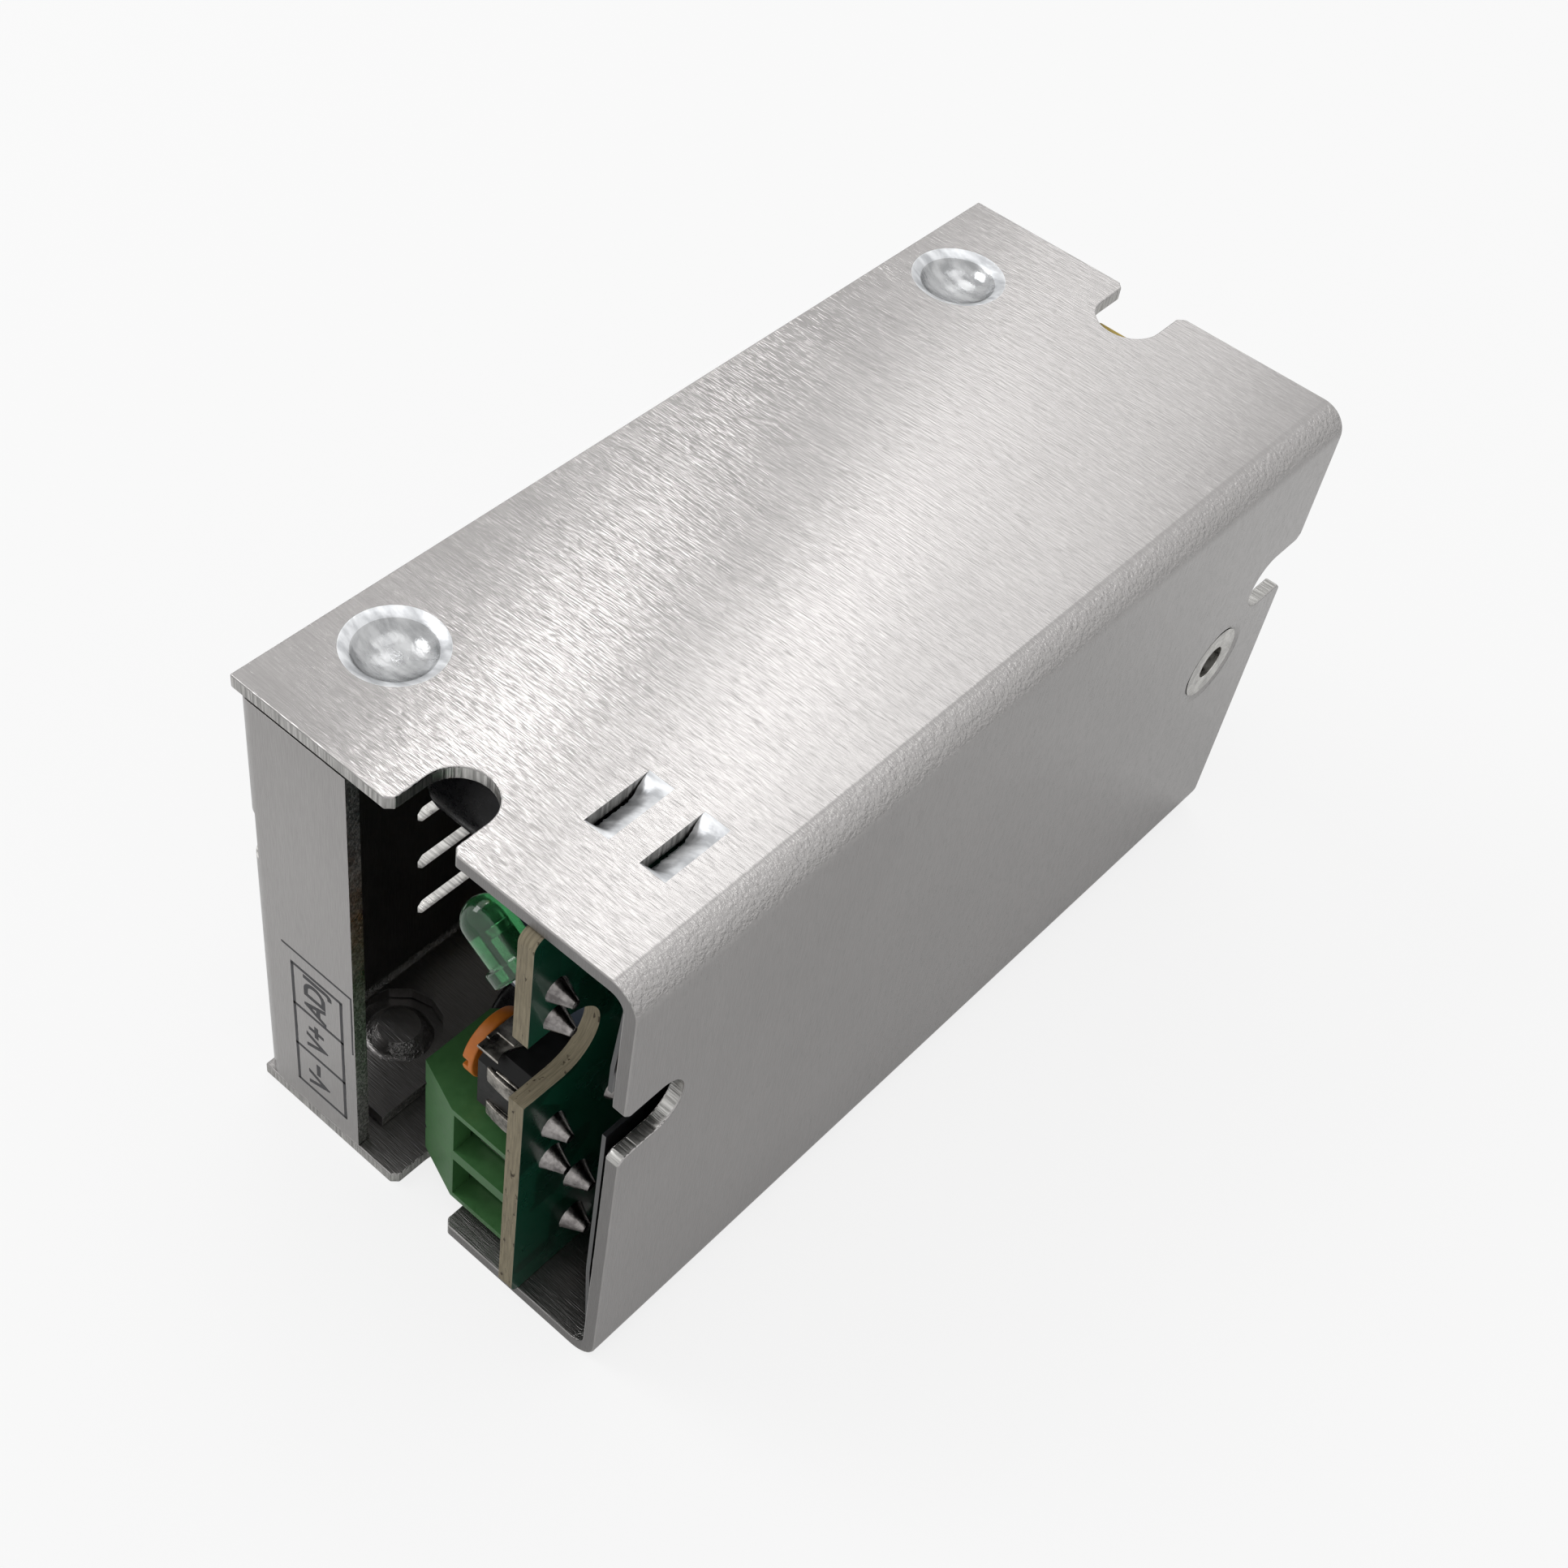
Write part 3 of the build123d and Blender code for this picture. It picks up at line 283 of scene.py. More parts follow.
def boardMask():
    # green solder mask over copper tracks
    paint = Paint("board_mask", {"Coat Weight": 0.4, "Coat Roughness": 0.08})
    cells = paint.node("TexVoronoi", {"feature": "F1", "distance": "CHEBYCHEV"},
                       {"Vector": paint.place((1, 0, 1)), "Scale": 210.0}, output="Color")
    level = paint.node("SeparateColor", {}, {"Color": cells})
    cloud = paint.noise(300.0)
    tracks = paint.ramp(level, 0.42, 0.46)
    paint.feed(Base_Color=paint.mix(tracks, (0.003, 0.034, 0.018), (0.005, 0.062, 0.033)),
               Roughness=paint.ramp(cloud, *broad, 0.24, 0.36))
    return paint.bump(tracks * 0.8 + cloud * 0.2, 0.5, 0.05 * mm)


def boardEdge():
    # the sawn edge of the laminate: straw coloured, in thin layers, with dark nicks
    paint = Paint("board_edge", {"Specular IOR Level": 0.3})
    layers = paint.noise(1.0, (700, 9000, 700), 2.0)
    specks = paint.noise(1.0, (2600, 2600, 900), 3.0, 0.6)
    straw = paint.mix(paint.ramp(layers, *loose), (0.185, 0.157, 0.104), (0.275, 0.238, 0.163))
    nicks = paint.ramp(specks, 0.62, 0.68)
    paint.feed(Base_Color=paint.mix(nicks, straw, (0.055, 0.042, 0.026)),
               Roughness=paint.ramp(layers, *broad, 0.6, 0.8))
    return paint.bump(layers * 0.5 + specks * 0.5, 0.7, 0.06 * mm)


def clearResin(name, colour):
    paint = Paint(name, {"Transmission Weight": 0.90, "IOR": 1.5, "Coat Weight": 0.3})
    haze = paint.noise(600.0)
    pale = tuple(min(1.0, c * 1.15) for c in colour)
    paint.feed(Base_Color=paint.mix(paint.ramp(haze, *loose), colour, pale),
               Roughness=paint.ramp(haze, *broad, 0.03, 0.10))
    return paint.bump(haze, 0.15, 0.02 * mm)


sleeveBand = {"half": 1.2 * mm, "dashHalf": 0.4 * mm, "dashes": 330.0, "gap": 0.4,
              "grey": (0.26, 0.26, 0.27), "dark": (0.010, 0.010, 0.012)}


def canSleeve(name, middle):
    # black shrink sleeve with one grey band of polarity dashes down its lower side
    s = sleeveBand
    paint = Paint(name, {"Coat Weight": 0.05, "Coat Roughness": 0.2, "Specular IOR Level": 0.22})
    fine = paint.noise(2600.0)
    mottle = paint.noise(240.0)
    body = paint.mix(paint.ramp(mottle, *loose), (0.003, 0.003, 0.004), (0.007, 0.007, 0.008))
    away = abs(paint.axis("X") - middle[0])
    under = paint.axis("Z") < middle[1]
    beat = paint.axis("Y") * s["dashes"] % 1.0
    banded = paint.mix((away < s["half"]) * under * 0.85, body, s["grey"])
    dashes = (away < s["dashHalf"]) * (beat > s["gap"]) * 0.9
    paint.feed(Base_Color=paint.mix(dashes, banded, s["dark"]),
               Roughness=paint.ramp(fine, *broad, 0.22, 0.36))
    return paint.bump(fine * 0.6 + mottle * 0.4, 0.3, 0.03 * mm)


def woundTape(name):
    # polyester tape: overlapping turns with a slight sheen
    paint = Paint(name, {"Coat Weight": 0.5, "Coat Roughness": 0.1})
    turns = paint.noise(1.0, (1500, 120, 120), 2.0)
    cloud = paint.noise(300.0)
    paint.feed(Base_Color=paint.mix(paint.ramp(turns * 0.6 + cloud * 0.4, *loose),
                                    (0.45, 0.28, 0.03), (0.72, 0.50, 0.08)),
               Roughness=paint.ramp(cloud, *broad, 0.25, 0.4))
    return paint.bump(turns, 0.3, 0.06 * mm)


def woundWire(name):
    # enamelled wire laid side by side, its colour banded dark and pale along Z: the dark bands are
    # painted shade between the turns
    paint = Paint(name, {"Metallic": 0.7, "Coat Weight": 0.6, "Coat Roughness": 0.1})
    wave = paint.node("TexWave", {"bands_direction": "Z"},
                      {"Vector": paint.place(), "Scale": 420.0, "Distortion": 0.6})
    cloud = paint.noise(500.0)
    paint.feed(Base_Color=paint.mix(wave, (0.16, 0.05, 0.015), (0.62, 0.27, 0.09)),
               Roughness=paint.ramp(cloud, *broad, 0.25, 0.4))
    return paint.bump(wave, 0.5, 0.15 * mm)


print("paints")
sheetCase = sheetMetal("case_sheet")
sheetCover = sheetMetal("cover_sheet")
# the inner faces of case and cover: the same sheet at 0.62 of its colour and rougher, painted
# shade of the interior
sheetInsideShade = sheetMetal("case_sheet_inner_painted_shade", 0.62, 2.2)
wallEdge = shearedMetal("sheared_wall_edge", (5200, 5200, 260))
plateEdge = shearedMetal("sheared_plate_edge", (5200, 260, 5200))
sheetPressed = pressedMetal("pressed_sheet", (0.33, 0.335, 0.34), (0.52, 0.525, 0.53),
                            (0.22, 0.34))
# the tongues and the dimples' flare rings: a much paler copy of the pressed finish, painted light
sheetTonguePaintedLight = pressedMetal("tongue_sheet_painted_light", (0.46, 0.47, 0.485), (0.74, 0.75, 0.765),
                           (0.34, 0.50))
# plated and bare metals: pale colour, deep colour, range of roughness
brightPlate = platedMetal("bright_plate", (0.72, 0.71, 0.68), (0.42, 0.41, 0.39), (0.18, 0.38))
clampPlate = platedMetal("clamp_plate", (0.66, 0.65, 0.61), (0.36, 0.35, 0.33), (0.22, 0.42))
contactPlate = platedMetal("contact_plate", (0.70, 0.67, 0.60), (0.45, 0.42, 0.36), (0.2, 0.4))
wornPlate = platedMetal("worn_plate", (0.50, 0.47, 0.43), (0.13, 0.12, 0.105), (0.22, 0.45), 0.9)
solderMetal = platedMetal("solder_metal", (0.37, 0.35, 0.34), (0.14, 0.13, 0.127),
                          (0.16, 0.34), 0.9)
tinWire = platedMetal("tinned_wire", (0.70, 0.70, 0.68), (0.40, 0.40, 0.39), (0.16, 0.32))
canMetal = platedMetal("can_metal", (0.56, 0.56, 0.555), (0.44, 0.44, 0.435), (0.25, 0.4))
# board and plastics
maskGreen = boardMask()
sawnEdge = boardEdge()
lensGreen = clearResin("lens_resin", (0.085, 0.40, 0.15))
terminalGreen = moulded("terminal_plastic", (0.052, 0.165, 0.050), (0.036, 0.125, 0.036),
                        (0.34, 0.46))
trimmerBlack = moulded("trimmer_plastic", (0.006, 0.006, 0.006), (0.003, 0.003, 0.003),
                       (0.30, 0.48), shine=0.22)
rotorOrange = moulded("rotor_plastic", (0.62, 0.185, 0.014), (0.48, 0.125, 0.009), (0.35, 0.5))
filmDark = moulded("film_plastic", (0.018, 0.019, 0.020), (0.010, 0.011, 0.012), (0.14, 0.24),
                   coat=0.5)
sleeveBlue = moulded("sleeve_slate", (0.048, 0.062, 0.090), (0.032, 0.043, 0.064), (0.36, 0.5))
coreBlack = moulded("core_black", (0.010, 0.010, 0.010), (0.004, 0.004, 0.004), (0.5, 0.7))
chipBlack = moulded("chip_epoxy", (0.022, 0.022, 0.023), (0.011, 0.011, 0.012), (0.45, 0.65),
                    speck=0.3)
bobbinBlack = moulded("bobbin_plastic", (0.020, 0.020, 0.021), (0.010, 0.010, 0.011),
                      (0.35, 0.5))
ferriteGrey = moulded("ferrite_ground", (0.075, 0.074, 0.076), (0.040, 0.040, 0.042),
                      (0.35, 0.55), speck=0.2)
resistorTan = moulded("resistor_lacquer", (0.50, 0.40, 0.24), (0.36, 0.28, 0.16), (0.3, 0.45),
                      coat=0.3)
filmRed = moulded("film_dip", (0.42, 0.045, 0.020), (0.28, 0.026, 0.012), (0.15, 0.28),
                  coat=0.5)
discBlue = moulded("disc_dip", (0.035, 0.105, 0.33), (0.020, 0.065, 0.22), (0.25, 0.42),
                   coat=0.2)
thermistorDark = moulded("thermistor_dip", (0.030, 0.055, 0.045), (0.014, 0.028, 0.022),
                         (0.35, 0.55), coat=0.2)
fuseTan = moulded("fuse_ceramic", (0.62, 0.55, 0.42), (0.48, 0.41, 0.30), (0.3, 0.45))
lineYellow = moulded("line_plastic", (0.60, 0.43, 0.045), (0.46, 0.32, 0.03), (0.35, 0.5))
printGrey = moulded("print_ink", (0.050, 0.050, 0.054), (0.035, 0.035, 0.038), (0.5, 0.7))
tapeYellow = woundTape("winding_tape_wrap")
copperWire = woundWire("copper_wire")

# Mesh helpers

meshCare = {"weld": 0.002 * mm, "spinWeld": 0.0005 * mm, "flatAngle": 0.6}
bodyOfNode = {node: next(b for b, e in frame["bodies"].items() if e is thing.parent)
              for node, thing in frame["nodes"].items()}
slotOfNode = {part["node"]: part["material_slot"] for part in frame["record"]["subparts"]}


def asPiece(name, shape, materials, node, smoothAngle=38, stands=True, slot=None):
    # a finished shape at the origin, on its node's body, where it may stand for the node
    mesh = bpy.data.meshes.new(name)
    shape.to_mesh(mesh)
    shape.free()
    piece = bpy.data.objects.new(name, mesh)
    bpy.context.scene.collection.objects.link(piece)
    for material in materials:
        mesh.materials.append(material)
    mesh.shade_smooth()
    mesh.set_sharp_from_angle(angle=radians(smoothAngle))
    # wide flat faces stay flat beside their rounded edges
    level = piece.modifiers.new("flatNormals", "WEIGHTED_NORMAL")
    level.keep_sharp = True
    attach(piece, bodyOfNode[node])
    slot or slotOfNode[node]
    if stands:
        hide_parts(node)


def mergedCopy(node):
    # a welded copy of a CAD node with its flat faces joined up
    made = bmesh.new()
    made.from_mesh(frame["nodes"][node].data)
    bmesh.ops.remove_doubles(made, verts=made.verts, dist=meshCare["weld"])
    bmesh.ops.dissolve_limit(made, angle_limit=radians(meshCare["flatAngle"]), verts=made.verts,
                             edges=made.edges, use_dissolve_boundaries=False)
    return made


def addTo(joined, part):
    # moves one shape into another
    mesh = bpy.data.meshes.new("part")
    part.to_mesh(mesh)
    part.free()
    joined.from_mesh(mesh)
    bpy.data.meshes.remove(mesh)


def roundEdges(made, width, crease=28, segments=2, keep=None):
    sharp = [e for e in made.edges if e.is_manifold and e.calc_face_angle(0) > radians(crease)
             and (keep is None or keep(e))]
    bmesh.ops.bevel(made, geom=sharp, offset=width * mm, offset_type="OFFSET", segments=segments,
                    profile=0.5, affect="EDGES", clamp_overlap=True, material=-1,
                    loop_slide=True)


def spinShape(profile, centre, axis=(0, 1, 0), steps=32):
    # profile holds (radius, height) pairs along the axis
    made = bmesh.new()
    along = Vector(axis).normalized()
    side = along.orthogonal().normalized()
    points = [made.verts.new(Vector(centre) + side * r + along * h) for r, h in profile]
    for first, second in zip(points, points[1:]):
        made.edges.new((first, second))
    bmesh.ops.spin(made, geom=made.verts[:] + made.edges[:], cent=centre, axis=along,
                   dvec=(0, 0, 0), angle=2 * pi, steps=steps, use_merge=True)
    bmesh.ops.remove_doubles(made, verts=made.verts, dist=meshCare["spinWeld"])
    bmesh.ops.recalc_face_normals(made, faces=made.faces)
    return made


def block(low, high, bevel, segments=2):
    # an edge-rounded block between two corners, in mm
    made = bmesh.new()
    bmesh.ops.create_cube(made, size=1.0)
    bmesh.ops.scale(made, vec=[(b - a) * mm for a, b in zip(low, high)], verts=made.verts)
    bmesh.ops.translate(made, vec=[(b + a) / 2 * mm for a, b in zip(low, high)],
                        verts=made.verts)
    bmesh.ops.bevel(made, geom=made.edges[:], offset=bevel * mm, offset_type="OFFSET",
                    segments=segments, profile=0.5, affect="EDGES", clamp_overlap=True,
                    material=-1)
    return made


def strip(sections, rounding):
    # a bent strip, extruded from its first section through the others, in mm
    made = bmesh.new()
    face = made.faces.new([made.verts.new(Vector(point) * mm) for point in sections[0]])
    for number, section in enumerate(sections[1:]):
        grown = bmesh.ops.extrude_face_region(made, geom=[face])["geom"]
        if number:
            made.faces.remove(face)   # only the first section stays, as the strip's end
        face = next(g for g in grown if isinstance(g, bmesh.types.BMFace))
        for vert, point in zip(face.verts, section):
            vert.co = Vector(point) * mm
    bmesh.ops.recalc_face_normals(made, faces=made.faces)
    roundEdges(made, rounding, 50)
    return made


def refine(node, pieceName, materials, width, segments=2, pick=None, keep=None):
    # a CAD node with its edges rounded and its faces painted
    made = mergedCopy(node)
    if width:
        roundEdges(made, width, segments=segments, keep=keep)
    made.normal_update()
    if pick:
        for face in made.faces:
            face.material_index = pick(face)
    asPiece(pieceName, made, materials, node)


def islands(made):
    # the separate bodies in one mesh, as lists of vertices
    left = set(made.verts)
    while left:
        stack = [left.pop()]
        group = list(stack)
        while stack:
            for edge in stack.pop().link_edges:
                for vert in edge.verts:
                    if vert in left:
                        left.remove(vert)
                        group.append(vert)
                        stack.append(vert)
        yield group


# Case and cover

print("case and cover")
baseY, coverY, topZ = cadBox[0].y, cadBox[1].y, cadBox[1].z
boardBack, boardTop = (corner.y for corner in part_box("circuit_board"))
# how a cut edge is told from a face, in mm: depths under the skin, the bends' reach, where the
# inside starts, where the cover's plate ends and its flange starts, and its skirts' lower edge
cutEdge = {"skin": 0.12, "sheet": 1.0, "bend": 2.1, "inside": 0.95, "plateEnd": 33.3,
           "flange": 33.5, "skirt": 6.6, "tilt": 0.35}
dimpleShape = {
    "x": (-26.2, 26.2), "y": 11.0, "rim": 3.25, "rimSpare": 0.03, "keepClear": 3.6,
    "deepest": 1.36, "tilt": 0.02,
    "flare": ((3.19, 0.015), (3.06, 0.06), (2.90, 0.14), (2.73, 0.24), (2.58, 0.33)),
    "bowl": ((2.50, 0.42), (2.38, 0.57), (2.18, 0.79), (1.86, 1.00), (1.42, 1.17), (0.95, 1.28),
             (0.50, 1.33), (0.20, 1.345)),
}
lanceShape = {
    "x": -25.2, "half": 2.6, "roots": (-7.1, -11.15), "width": 1.85, "gap": 0.16, "rise": 1.08,
    "slope": 0.35, "nearRamp": 0.8, "farRamp": 1.9, "ragged": 0.05, "teeth": (17, 41),
    "across": 12, "along": 34, "keepClear": 0.5, "deepest": 1.41, "tilt": 0.12, "skin": 0.002,
}
pressingSkin = 0.003


def nearDimple(point, reach):
    d = dimpleShape
    return any((point.xy - Vector((x, d["y"])) * mm).length < reach * mm for x in d["x"])


def inLance(point, spare):
    s = lanceShape
    return abs(point.x - s["x"] * mm) < (s["half"] + spare) * mm and any(
        (root - spare) * mm < point.y < (root + s["width"] + spare) * mm for root in s["roots"])


def wallDepth(point):
    # how far a point lies under the outer face of the nearer side wall
    return min(point.z, topZ - point.z)


def awayFromPressings(edge):
    middle = (edge.verts[0].co + edge.verts[1].co) / 2
    return not (nearDimple(middle, dimpleShape["keepClear"])
                or inLance(middle, lanceShape["keepClear"]))


def clearPressing(made, outward, shape, inPlace):
    # takes out the outer faces of the CAD pressings in one side wall
    old = []
    for face in made.faces:
        middle = face.calc_center_median()
        if ((middle.z - topZ / 2) * outward > 0 and face.normal.z * outward > shape["tilt"]
                and pressingSkin * mm < wallDepth(middle) < shape["deepest"] * mm
                and inPlace(middle)):
            old.append(face)
    bmesh.ops.delete(made, geom=old, context="FACES")


def reshapeDimples(made):
    # the flat-sided bowls give way to a soft flare and a round bowl, swept in from the rim
    d = dimpleShape
    for outward in (1, -1):
        clearPressing(made, outward, d, lambda point: nearDimple(point, d["rim"]))
        for x in d["x"]:
            centre = Vector((x * mm, d["y"] * mm, 0))
            ring = [e for e in made.edges if e.is_boundary and all(
                abs((v.co.xy - centre.xy).length - d["rim"] * mm) < d["rimSpare"] * mm
                and (v.co.z - topZ / 2) * outward > 0 for v in e.verts)]
            radius, depth = d["rim"], 0.0
            for step in d["flare"] + d["bowl"]:
                made.normal_update()
                grown = bmesh.ops.extrude_edge_only(made, edges=ring)["geom"]
                verts = [g for g in grown if isinstance(g, bmesh.types.BMVert)]
                ring = [g for g in grown if isinstance(g, bmesh.types.BMEdge)
                        and all(v in verts for v in g.verts)]
                for face in {f for v in verts for f in v.link_faces}:
                    # the flare ring takes the paler tongue copy of the pressed finish, painted
                    # light; the bowl takes the pressed sheet
                    face.material_index = 2 if step in d["bowl"] else 5
                share = step[0] / radius
                bmesh.ops.scale(made, vec=(share, share, 1), space=Matrix.Translation(-centre),
                                verts=verts)
                bmesh.ops.translate(made, vec=(0, 0, (depth - step[1]) * mm * outward),
                                    verts=verts)
                radius, depth = step
            pole = list({v for e in ring for v in e.verts})
            bmesh.ops.pointmerge(made, verts=pole,
                                 merge_co=sum((v.co for v in pole), Vector()) / len(pole))


def reshapeLances(made):
    # each tongue gets a smooth pressed surface that runs from its root down to its sheared edge
    s = lanceShape
    for outward in (1, -1):
        clearPressing(made, outward, s, lambda point: inLance(point, 0.01))
        face = topZ if outward > 0 else 0.0
        for root in s["roots"]:
            grid = bmesh.ops.create_grid(made, x_segments=s["along"], y_segments=s["across"],
                                         size=1.0)["verts"]
            for vert in grid:
                u, v = vert.co.x, (vert.co.y + 1) / 2
                end = min(1.0, (1 + u) * s["half"] / s["nearRamp"],
                          (1 - u) * s["half"] / s["farRamp"])
                end = end * end * (3 - 2 * end)
                curve = s["slope"] * v + (1 - s["slope"]) * (1 - cos(v * pi / 2))
                teeth = sin(s["teeth"][0] * u + root) * sin(s["teeth"][1] * u)
                torn = (s["gap"] + s["ragged"] * teeth) * end
                vert.co = ((s["x"] + u * s["half"]) * mm, (root + v * (s["width"] - torn)) * mm,
                           face - (s["rise"] * end * curve + s["skin"]) * mm * outward)
            tongue = list({f for v in grid for f in v.link_faces})
            # the tongue takes the paler copy of the pressed finish, painted light
            for f in tongue:
                f.material_index = 5
            bmesh.ops.recalc_face_normals(made, faces=tongue)
            made.normal_update()
            if sum(f.normal.z for f in tongue) * outward < 0:
                bmesh.ops.reverse_faces(made, faces=tongue)


def caseEdge(face):
    # faces that show the sheet's thickness are cut edges
    s = cutEdge
    middle, normal = face.calc_center_median(), face.normal
    inWall, inBase = wallDepth(middle) / mm, (middle.y - baseY) / mm
    wallCut = abs(normal.z) < s["tilt"] and s["skin"] < inWall < s["sheet"] - s["skin"]
    baseCut = abs(normal.y) < s["tilt"] and s["skin"] < inBase < s["sheet"] - s["skin"]
    atBend = abs(normal.x) < 0.2 and max(inWall, inBase) < s["bend"]
    if (wallCut or baseCut) and not atBend:
        return 1 if wallCut else 3
    # faces further in than the inside mark take the darker inner copy of the sheet, painted shade
    return 4 if min(inWall, inBase) > s["inside"] else 0


def coverEdge(face):
    s = cutEdge
    middle, normal = face.calc_center_median(), face.normal
    deep, along = (coverY - middle.y) / mm, abs(middle.x) / mm
    plateCut = (abs(normal.y) < s["tilt"] and s["skin"] < deep < s["sheet"] - s["skin"]
                and along < s["plateEnd"])
    skirtCut = normal.y < -0.9 and middle.y < s["skirt"] * mm
    flangeCut = abs(normal.z) > 0.9 and along > s["flange"] and deep > s["sheet"]
    if plateCut or skirtCut or flangeCut:
        return 1
    # the cover's faces further in than the inside mark take the darker inner copy of the sheet,
    # painted shade
    return 2 if deep > s["inside"] and along < s["flange"] else 0


def boardSide(face):
    return 0 if abs(face.normal.y) > 0.5 else 1


def buildCase():
    made = mergedCopy("base_case")
    roundEdges(made, 0.10, keep=awayFromPressings)
    made.normal_update()
    for face in made.faces:
        face.material_index = caseEdge(face)
    reshapeDimples(made)
    reshapeLances(made)
    asPiece("caseChannel", made,
            [sheetCase, wallEdge, sheetPressed, plateEdge, sheetInsideShade, sheetTonguePaintedLight],
            "base_case", 32)


buildCase()
refine("cover", "coverFold", [sheetCover, plateEdge, sheetInsideShade], 0.08, pick=coverEdge)
refine("insulating_film", "filmSheet", [filmDark], 0)
refine("circuit_board", "boardSheet", [maskGreen, sawnEdge], 0.05, segments=1, pick=boardSide,
       keep=lambda e: e.calc_length() > 0.75 * mm)
refine("board_pillar", "pillar", [brightPlate], 0.06)
refine("board_screw", "pillarScrew", [brightPlate], 0.08)

# Solder

print("solder")
solderShape = {
    "steps": 14, "wide": 1.08,
    "fillet": ((1.0, 0.0), (0.92, 0.10), (0.82, 0.24), (0.71, 0.40), (0.60, 0.56), (0.50, 0.72),
               (0.42, 0.86), (0.34, 0.97), (0.0, 1.0)),
}


def buildSolder():
    # each joint is a concave fillet that climbs its cut lead
    s = solderShape
    source = mergedCopy("solder_joints")
    joined = bmesh.new()
    for group in islands(source):
        xs, ys, zs = ([v.co[i] for v in group] for i in range(3))
        centre = ((min(xs) + max(xs)) / 2, boardBack, (min(zs) + max(zs)) / 2)
        radius, height = (max(xs) - min(xs)) / 2 * s["wide"], boardBack - min(ys)
        addTo(joined, spinShape([(radius * r, height * h) for r, h in s["fillet"]], centre,
                                (0, -1, 0), s["steps"]))
    source.free()
    asPiece("solderCones", joined, [solderMetal], "solder_joints", 50)


buildSolder()

# Lamp

print("lamp")
lampShape = {
    "foot": (-33.0, -6.337, 31.477), "tilt": 32.0, "steps": 40,
    "body": ((0, 0.02), (1.80, 0.02), (1.88, 0.10), (1.88, 0.92), (1.80, 1.0), (1.56, 1.0),
             (1.50, 1.08), (1.50, 3.40), (1.46, 3.73), (1.37, 4.02), (1.22, 4.28), (1.02, 4.50),
             (0.78, 4.68), (0.50, 4.81), (0.22, 4.88), (0, 4.895)),
    "metal": {"lampPost": ((-0.35, 0.5, 0.1), (0.35, 1.0, 3.0)),
              "lampAnvil": ((-0.5, -1.1, 0.1), (0.5, -0.1, 2.5))},
    "cup": ((0, 0), (0.5, 0), (0.62, 0.5), (0.5, 0.5), (0.3, 0.15), (0, 0.15)),
    "cupFoot": (0, -0.5, 2.5), "cupSteps": 16,
}


def buildLamp():
    s = lampShape
    up = Vector((0, cos(radians(s["tilt"])), sin(radians(s["tilt"]))))
    foot = Vector(s["foot"]) * mm
    lens = spinShape([(r * mm, h * mm) for r, h in s["body"]], foot, up, s["steps"])
    asPiece("lampLens", lens, [lensGreen], "indicator_lens", 30)
    lean = Vector((0, 0, 1)).rotation_difference(up).to_matrix().to_4x4()
    turn = Matrix.Translation(foot) @ lean
    metal = {name: block(low, high, 0.1) for name, (low, high) in s["metal"].items()}
    cup = spinShape([(r * mm, h * mm) for r, h in s["cup"]], (0, 0, 0), (0, 0, 1), s["cupSteps"])
    bmesh.ops.translate(cup, vec=Vector(s["cupFoot"]) * mm, verts=cup.verts)
    metal["lampCup"] = cup
    for name, made in metal.items():
        bmesh.ops.transform(made, matrix=turn, verts=made.verts)
        asPiece(name, made, [tinWire], "indicator_lens", stands=False, slot="lead_metal")


buildLamp()

# Capacitors

print("capacitors")
canShape = {   # in mm; the sleeve's points are inset from its radius, up from foot or under top
    "steps": 44, "lift": 0.2,
    "neck": ((0.4, 0), (0.06, 0.25), (0.02, 1.05), (0.4, 1.5), (0.06, 1.95), (0, 2.2)),
    "rim": ((0, 0.7), (0.06, 0.34), (0.25, 0.08), (0.5, 0), (0.72, 0.04), (0.78, 0.22),
            (1.0, 0.26)),
    "bareInset": 0.73, "bareDepth": 0.3, "leadTop": 0.01,
    "scoreReach": 0.52, "scoreHalf": (0.02, 0.07), "scoreDepth": 0.27, "scoreTurns": (0, 120, 240),
}


def buildCan(node, name):
    # the sleeve folds over the top rim, and the bare top is scored so that it can vent
    s = canShape
    low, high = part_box(node)
    middle = ((low.x + high.x) / 2, (low.z + high.z) / 2)
    radius, foot = (high.x - low.x) / 2, boardTop + s["lift"] * mm
    height = high.y - foot
    profile = [(0, 0)] + [(radius - inset * mm, up * mm) for inset, up in s["neck"]]
    profile += [(radius - inset * mm, height - under * mm) for inset, under in s["rim"]]
    profile.append((0, profile[-1][1]))
    made = spinShape(profile, (middle[0], foot, middle[1]), (0, 1, 0), s["steps"])
    for face in made.faces:
        c = face.calc_center_median()
        away = Vector((c.x - middle[0], c.z - middle[1])).length
        bare = (c.y > foot + height - s["bareDepth"] * mm
                and away < radius - s["bareInset"] * mm)
        face.material_index = 1 if bare else 0
    leads = mergedCopy(node)
    bmesh.ops.bisect_plane(leads, geom=leads.verts[:] + leads.edges[:] + leads.faces[:],
                           plane_co=(0, foot - s["leadTop"] * mm, 0), plane_no=(0, 1, 0),
                           clear_outer=True)
    for face in leads.faces:
        face.material_index = 2
    addTo(made, leads)
    asPiece(name, made, [canSleeve(name + "_sleeve", middle), canMetal, tinWire], node, 40)
    scores = bmesh.new()
    thick, wide = s["scoreHalf"]
    for turn in s["scoreTurns"]:
        bar = block((0, -thick, -wide), (radius * s["scoreReach"] / mm, thick, wide), 0.015, 1)
        bmesh.ops.rotate(bar, cent=(0, 0, 0), matrix=Matrix.Rotation(radians(turn), 3, "Y"),
                         verts=bar.verts)
        bmesh.ops.translate(bar, vec=(middle[0], foot + height - s["scoreDepth"] * mm,
                                      middle[1]), verts=bar.verts)
        addTo(scores, bar)
    asPiece(name + "Score", scores, [wornPlate], node, stands=False)


buildCan("output_capacitor_1", "can1")
buildCan("output_capacitor_2", "can2")
buildCan("bias_capacitor", "can3")
buildCan("bulk_capacitor", "can4")

# Other parts on the board

